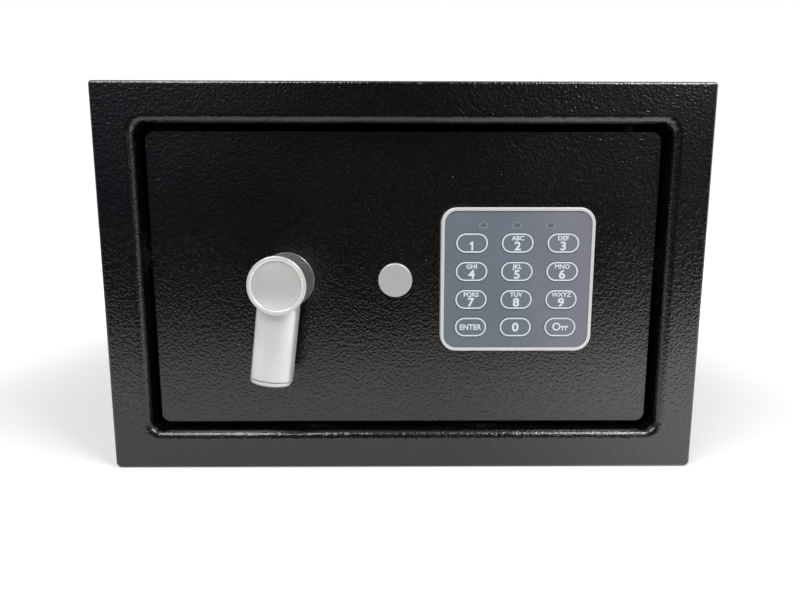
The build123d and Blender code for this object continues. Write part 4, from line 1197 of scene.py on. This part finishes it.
@dataclass
class Keypad(Assembly):
    """Keypad: silver bezel, printed film, twelve keys with their legends, and status lights.

    Attributes:
        ink: How far the print stands in front of its face, and reaches into it.
        pad: Width and height of the printed outline of each key.
        ring_line: Width of that outline's line.
        mark: Width and height of the arch over each status light.
        mark_line: The arch's inner outline, as a share of its outer one.
        window: The smoked window's outline, as a share of the arch's outer one.
        legends: The lines on each key, from the top left, row by row.
    """

    title = "keypad"
    finishes = covered(
        (BEZEL_SILVER, "keypad_bezel"),
        (OVERLAY, "keypad_overlay"),
        *((OVERLAY, f"key_{number:02d}") for number in range(1, KEY_COUNT + 1)),
        (DARK_LENS, "status_lights"),
        (BOARD_GREEN, "keypad_board"),
        (ZINC, "keypad_screws"),
        (RIBBON_GREY, "ribbon_cable"),
    )
    ink: float = 0.03 * MM
    pad: Point = (16.3 * MM, 9.9 * MM)
    ring_line: float = 0.72 * MM
    mark: Point = (4.3 * MM, 3.2 * MM)
    mark_line: float = 0.78
    window: float = 0.68
    legends: tuple[tuple[Line, ...], ...] = (
        (),
        *((letters(text), digit(str(number + 2))) for number, text in enumerate(LETTERS)),
        (Line("ENTER", tall=3.0 * MM, wide=0.92, weight=0.022, rise=0.0),),
        (Line("0", tall=4.7 * MM, wide=1.12, weight=0.028, rise=0.0),),
        (),
    )

    ONE: ClassVar[tuple[Point, ...]] = (
        (0.6, 0.8), (-0.15, 0.8), (-0.6, 0.2), (-1.35, -0.15),
        (-1.35, -0.9), (-0.35, -0.5), (-0.35, -3.75), (0.6, -3.75),
    )
    SHANK: ClassVar[tuple[Point, ...]] = (
        (0.0, 0.58), (0.0, -0.18), (1.03, -0.18), (1.03, -1.8), (1.63, -1.8), (1.63, -0.18),
        (2.7, -0.18), (2.7, -1.8), (3.3, -1.8), (3.3, -0.18), (4.4, -0.18), (4.4, 0.58),
    )
    BOW_AT: ClassVar[Point] = (-1.85 * MM, 0.2 * MM)
    BOW: ClassVar[Point] = (2.15 * MM, 1.35 * MM)
    ARCH: ClassVar[tuple[Point, ...]] = (
        (-0.5, -0.5), (0.5, -0.5), (0.5, 0.15), (0.25, 0.5), (-0.1, 0.5), (-0.5, 0.0),
    )

    def add_key_sign(self, ink: Print) -> None:
        """Adds the sign of a key, bow to the left and bit to the lower right.

        Args:
            ink: The print on its key.
        """
        x, z = self.BOW_AT
        outer, inner = self.BOW
        replace(ink, middle=ink.middle + Vector((x, 0.0, z))).ring(circle(outer), circle(inner))
        ink.plate(in_mm(self.SHANK))

    def outline(self, inset: float) -> list[Point]:
        """Outline with round ends, some way inside the edge of the key's print."""
        wide, tall = self.pad
        return rounded(wide - 2 * inset, tall - 2 * inset, tall / 2 - inset - 0.01 * MM, 24)

    def add_pieces(self) -> None:
        """Prints each key's outline and legend, and the marks over the status lights."""
        for number, lines in enumerate(self.legends, start=1):
            key = f"key_{number:02d}"
            low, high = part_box(key)
            ink = Print(bmesh.new(), (low + high) / 2, low.y, self.ink)
            ink.ring(self.outline(0.0), self.outline(self.ring_line))
            for line in lines:
                line.add(ink)
            if number == 1:
                ink.plate(in_mm(self.ONE))
            if number == KEY_COUNT:
                self.add_key_sign(ink)
            self.keep(piece(f"legend_{number:02d}", ink.mesh), LEGEND_INK, key, "grey_overlay")
        self.add_light_marks()

    def arch(self, share: float) -> list[Point]:
        """Outline of the arch over a status light, at a share of its full size."""
        wide, tall = self.mark
        return [(share * wide * x, share * tall * z) for x, z in self.ARCH]

    def add_light_marks(self) -> None:
        """Prints a small arch over each status light, with a smoked window in it."""
        low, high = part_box("status_lights")
        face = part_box("keypad_overlay")[0].y
        radius = (high.z - low.z) / 2
        marks, windows = bmesh.new(), bmesh.new()
        for x in (low.x + radius, (low.x + high.x) / 2, high.x - radius):
            middle = Vector((x, 0.0, (low.z + high.z) / 2))
            Print(marks, middle, face, self.ink).ring(self.arch(1.0), self.arch(self.mark_line))
            Print(windows, middle, face, self.ink).plate(self.arch(self.window))
        self.keep(piece("light_marks", marks), MARK_INK, Body.DOOR.value, "grey_overlay")
        self.keep(piece("light_windows", windows), SMOKED_INK, Body.DOOR.value, "dark_lens")


@dataclass
class Handle(Assembly):
    """Lever handle with its hub, spindle and the crank inside the door."""

    title = "handle"
    finishes = covered(
        (ROSETTE_SILVER, "handle_rosette"),
        (HUB_SILVER, "handle_hub"),
        (DISC_SILVER, "hub_insert"),
        (SATIN_SILVER, "handle_lever lever_cap"),
        (BRIGHT_STEEL, "spindle"),
        (WHITE_NYLON, "spindle_bush"),
        (ZINC, "retaining_clip crank crank_screw"),
    )


@dataclass
class EmergencyLock(Assembly):
    """Cam lock under its round cap."""

    title = "emergency lock"
    finishes = covered(
        (CAP_SILVER, "lock_cap"),
        (BRASS, "lock_barrel lock_plug"),
        (ZINC, "lock_nut lock_cam"),
    )


@dataclass
class LockWork(Assembly):
    """Bolts, their carrier, and the solenoid that blocks it."""

    title = "lock work"
    finishes = covered(
        (ZINC, "bolt_carrier solenoid_frame"),
        (BRIGHT_STEEL, "lock_bolts plunger plunger_spring"),
        (COPPER_WIRE, "solenoid_coil"),
    )


@dataclass
class Electronics(Assembly):
    """Control board, battery box with its cells, and reset button."""

    title = "electronics"
    finishes = covered(
        (BOARD_GREEN, "control_board"),
        (WHITE_NYLON, "board_posts"),
        (RED_PLASTIC, "reset_button"),
        (BLACK_PLASTIC, "battery_box battery_lid"),
        (CELL_JACKET, "battery_cells"),
        (BRASS, "battery_contacts"),
    )


WHITE = (1.0, 1.0, 1.0)
BLACK = (0.0, 0.0, 0.0)
ROOM = (0.045, 0.028, 0.01)
ROOM_LEFT = (0.03, 0.05, 0.085)
ROOM_RIGHT = (0.125, 0.13, 0.15)
ROOM_HIGH = (0.24, 0.25, 0.27)
WINDOW = (0.7, 0.71, 0.74)
SIDE_WALL = (0.4, 0.4, 0.4)
FLOOR = (0.8, 0.8, 0.8)
FAR_FLOOR_PAINTED_SHADE = (0.06, 0.055, 0.05)


@dataclass(frozen=True)
class Softbox:
    """A rectangular studio lamp.

    Attributes:
        name: The lamp's name.
        at: Where it hangs.
        aim: What it is aimed at.
        size: Its width and height.
        radiance: How bright its face is, where 1 is the white of the picture.
        colour: Its tint.
    """

    name: str
    at: Point3
    aim: Point3
    size: Point
    radiance: float
    colour: Colour = WHITE

    def hang(self) -> None:
        """Makes the lamp and turns it to what it lights."""
        lamp = bpy.data.lights.new(self.name, "AREA")
        lamp.shape = "RECTANGLE"
        lamp.size, lamp.size_y = self.size
        lamp.energy = self.radiance * math.pi * self.size[0] * self.size[1]
        lamp.color = self.colour
        made = add_object(self.name, lamp)
        made.location = self.at
        way = Vector(self.aim) - Vector(self.at)
        made.rotation_euler = way.to_track_quat("-Z", "Y").to_euler()
        log.info("studio: %s, radiance %.1f", self.name, self.radiance)


@dataclass
class Studio:
    """White studio: floor, world, lamps and the camera.

    Attributes:
        lens: The camera's focal length in mm on a 36 mm sensor.
        stand: Where the camera stands.
        turn: Its turn about X, Y and Z in degrees.
        floor_reach: Half the floor's side.
        ambient: How bright the plain light from all round is.
        lamps: The softboxes.
    """

    lens: float = 25.2
    stand: Point3 = (-0.00455, -0.38633, 0.1329)
    turn: Point3 = (81.747, -0.0495, -0.4718)
    floor_reach: float = 8.0
    ambient: float = 0.36
    lamps: tuple[Softbox, ...] = (
        Softbox("left_light", (-0.37, -0.5, 0.9), (0.0, -0.05, 0.1), (0.46, 0.4), 7.9),
        Softbox("right_light", (0.52, -0.5, 0.9), (0.0, -0.05, 0.1), (0.4, 0.4), 11.2),
        Softbox(
            "low_right_light", (0.54, -0.57, 0.58), (0.1, -0.1, 0.17), (0.2, 0.13), 5.5,
            (0.92, 0.96, 1.0),
        ),
        Softbox(
            "low_left_light", (-0.5, -0.57, 0.57), (-0.1, -0.1, 0.17), (0.2, 0.1), 3.0,
            (0.88, 0.94, 1.0),
        ),
    )

    def build(self) -> None:
        """Sets the picture's transform, and builds the camera, lamps, world and floor."""
        bpy.context.scene.view_settings.view_transform = "Standard"
        self.place_camera()
        for lamp in self.lamps:
            lamp.hang()
        self.light_world()
        self.lay_floor()

    def place_camera(self) -> None:
        """Puts the camera where the photograph was taken from."""
        camera = bpy.data.cameras.new("camera")
        camera.lens = self.lens
        camera.sensor_width = 36.0
        camera.clip_start = 0.01
        made = add_object("camera", camera)
        made.location = self.stand
        made.rotation_euler = Euler([math.radians(angle) for angle in self.turn])
        bpy.context.scene.camera = made

    def seen(self, graph: Graph) -> Socket:
        """1 for the rays that show the background in gloss or glass, else 0."""
        rays = graph.add("ShaderNodeLightPath").outputs
        return graph.math("MAXIMUM", rays["Is Glossy Ray"], rays["Is Transmission Ray"])

    def shown(self, graph: Graph) -> Socket:
        """1 for the rays that the camera itself sees, else 0."""
        return graph.add("ShaderNodeLightPath").outputs["Is Camera Ray"]

    def light_world(self) -> None:
        """White behind the object, a dim room in front of it, and plain light from all round."""
        world = bpy.data.worlds.new("studio")
        graph = fresh_graph(world, "Background", "World")
        x, y, z = graph.axes(graph.add("ShaderNodeTexCoord").outputs["Generated"])
        left, right = graph.span(x, -0.4, -0.05, 1.0, 0.0), graph.span(x, 0.05, 0.5)
        sides = graph.math("MAXIMUM", left, right)
        high = graph.times(graph.span(z, 0.08, 0.3), sides)
        window = graph.times(graph.span(z, 0.2, 0.42), graph.span(x, 0.25, 0.5))
        walls = graph.blend(graph.span(x, -0.6, 0.0, 1.0, 0.0), WHITE, SIDE_WALL)
        room = graph.blend(left, ROOM, ROOM_LEFT)
        room = graph.blend(right, room, ROOM_RIGHT)
        room = graph.blend(high, room, ROOM_HIGH)
        room = graph.blend(window, room, WINDOW)
        room = graph.blend(graph.span(y, -0.5, 0.1), room, walls)
        light = graph.blend(self.seen(graph), (self.ambient,) * 3, room)
        graph.give("Color", graph.blend(self.shown(graph), light, WHITE))
        bpy.context.scene.world = world

    def lay_floor(self) -> None:
        """Lays the pale floor, whose far parts glow so that they are as white as the backdrop, and
        which shows a painted pool of light in reflections.
        """
        bm = bmesh.new()
        bmesh.ops.create_grid(bm, x_segments=8, y_segments=8, size=self.floor_reach)
        floor = piece("floor", bm)
        material = bpy.data.materials.new("pale_floor")
        graph = fresh_graph(material, "BsdfPrincipled", "Material")
        where = graph.place()
        x, y, _ = graph.axes(where)
        far = graph.add("ShaderNodeVectorMath", {0: where}, operation="LENGTH").outputs["Value"]
        seen = self.seen(graph)
        to_right, to_left = graph.span(x, 0.2, 0.5, 0.0, 0.28), graph.span(x, -0.5, -0.2, 0.12, 0.0)
        sides = graph.math("ADD", to_right, to_left)
        # painted pool of light: in reflections the floor is pale near the safe and painted dark
        # further away
        pool = graph.span(graph.math("ADD", y, sides), -0.42, -0.3)
        shade = graph.times(seen, graph.math("SUBTRACT", 1.0, pool))
        graph.give("Base Color", graph.blend(shade, FLOOR, FAR_FLOOR_PAINTED_SHADE))
        # painted light: in reflections the pool of light is painted brighter towards the right
        right = graph.span(x, 0.02, 0.2, 0.0, 0.62)
        right = graph.times(graph.times(seen, pool), right)
        glow = graph.times(self.shown(graph), graph.span(far, 0.2, 0.8, 0.25, 1.0))
        glow = graph.math("ADD", glow, right)
        graph.give("Emission Color", graph.blend(glow, BLACK, WHITE))
        graph.give("Roughness", 0.9)
        graph.give("Specular IOR Level", 0.0)
        graph.give("Emission Strength", 1.0)
        floor.data.materials.append(material)


def main() -> None:
    """Builds the studio and then each sub-assembly, and reports each piece."""
    logging.basicConfig(level=logging.INFO, format="%(name)s: %(message)s")
    Studio().build()
    kinds = (Cabinet, FloorMat, Door, Keypad, Handle, EmergencyLock, LockWork, Electronics)
    for kind in kinds:
        kind().build()
    bare = set(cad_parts) - {"floor_mat"}.union(*(kind.finishes for kind in kinds))
    log.info("nodes without a finish: %s", sorted(bare))


if __name__ == "__main__":
    main()
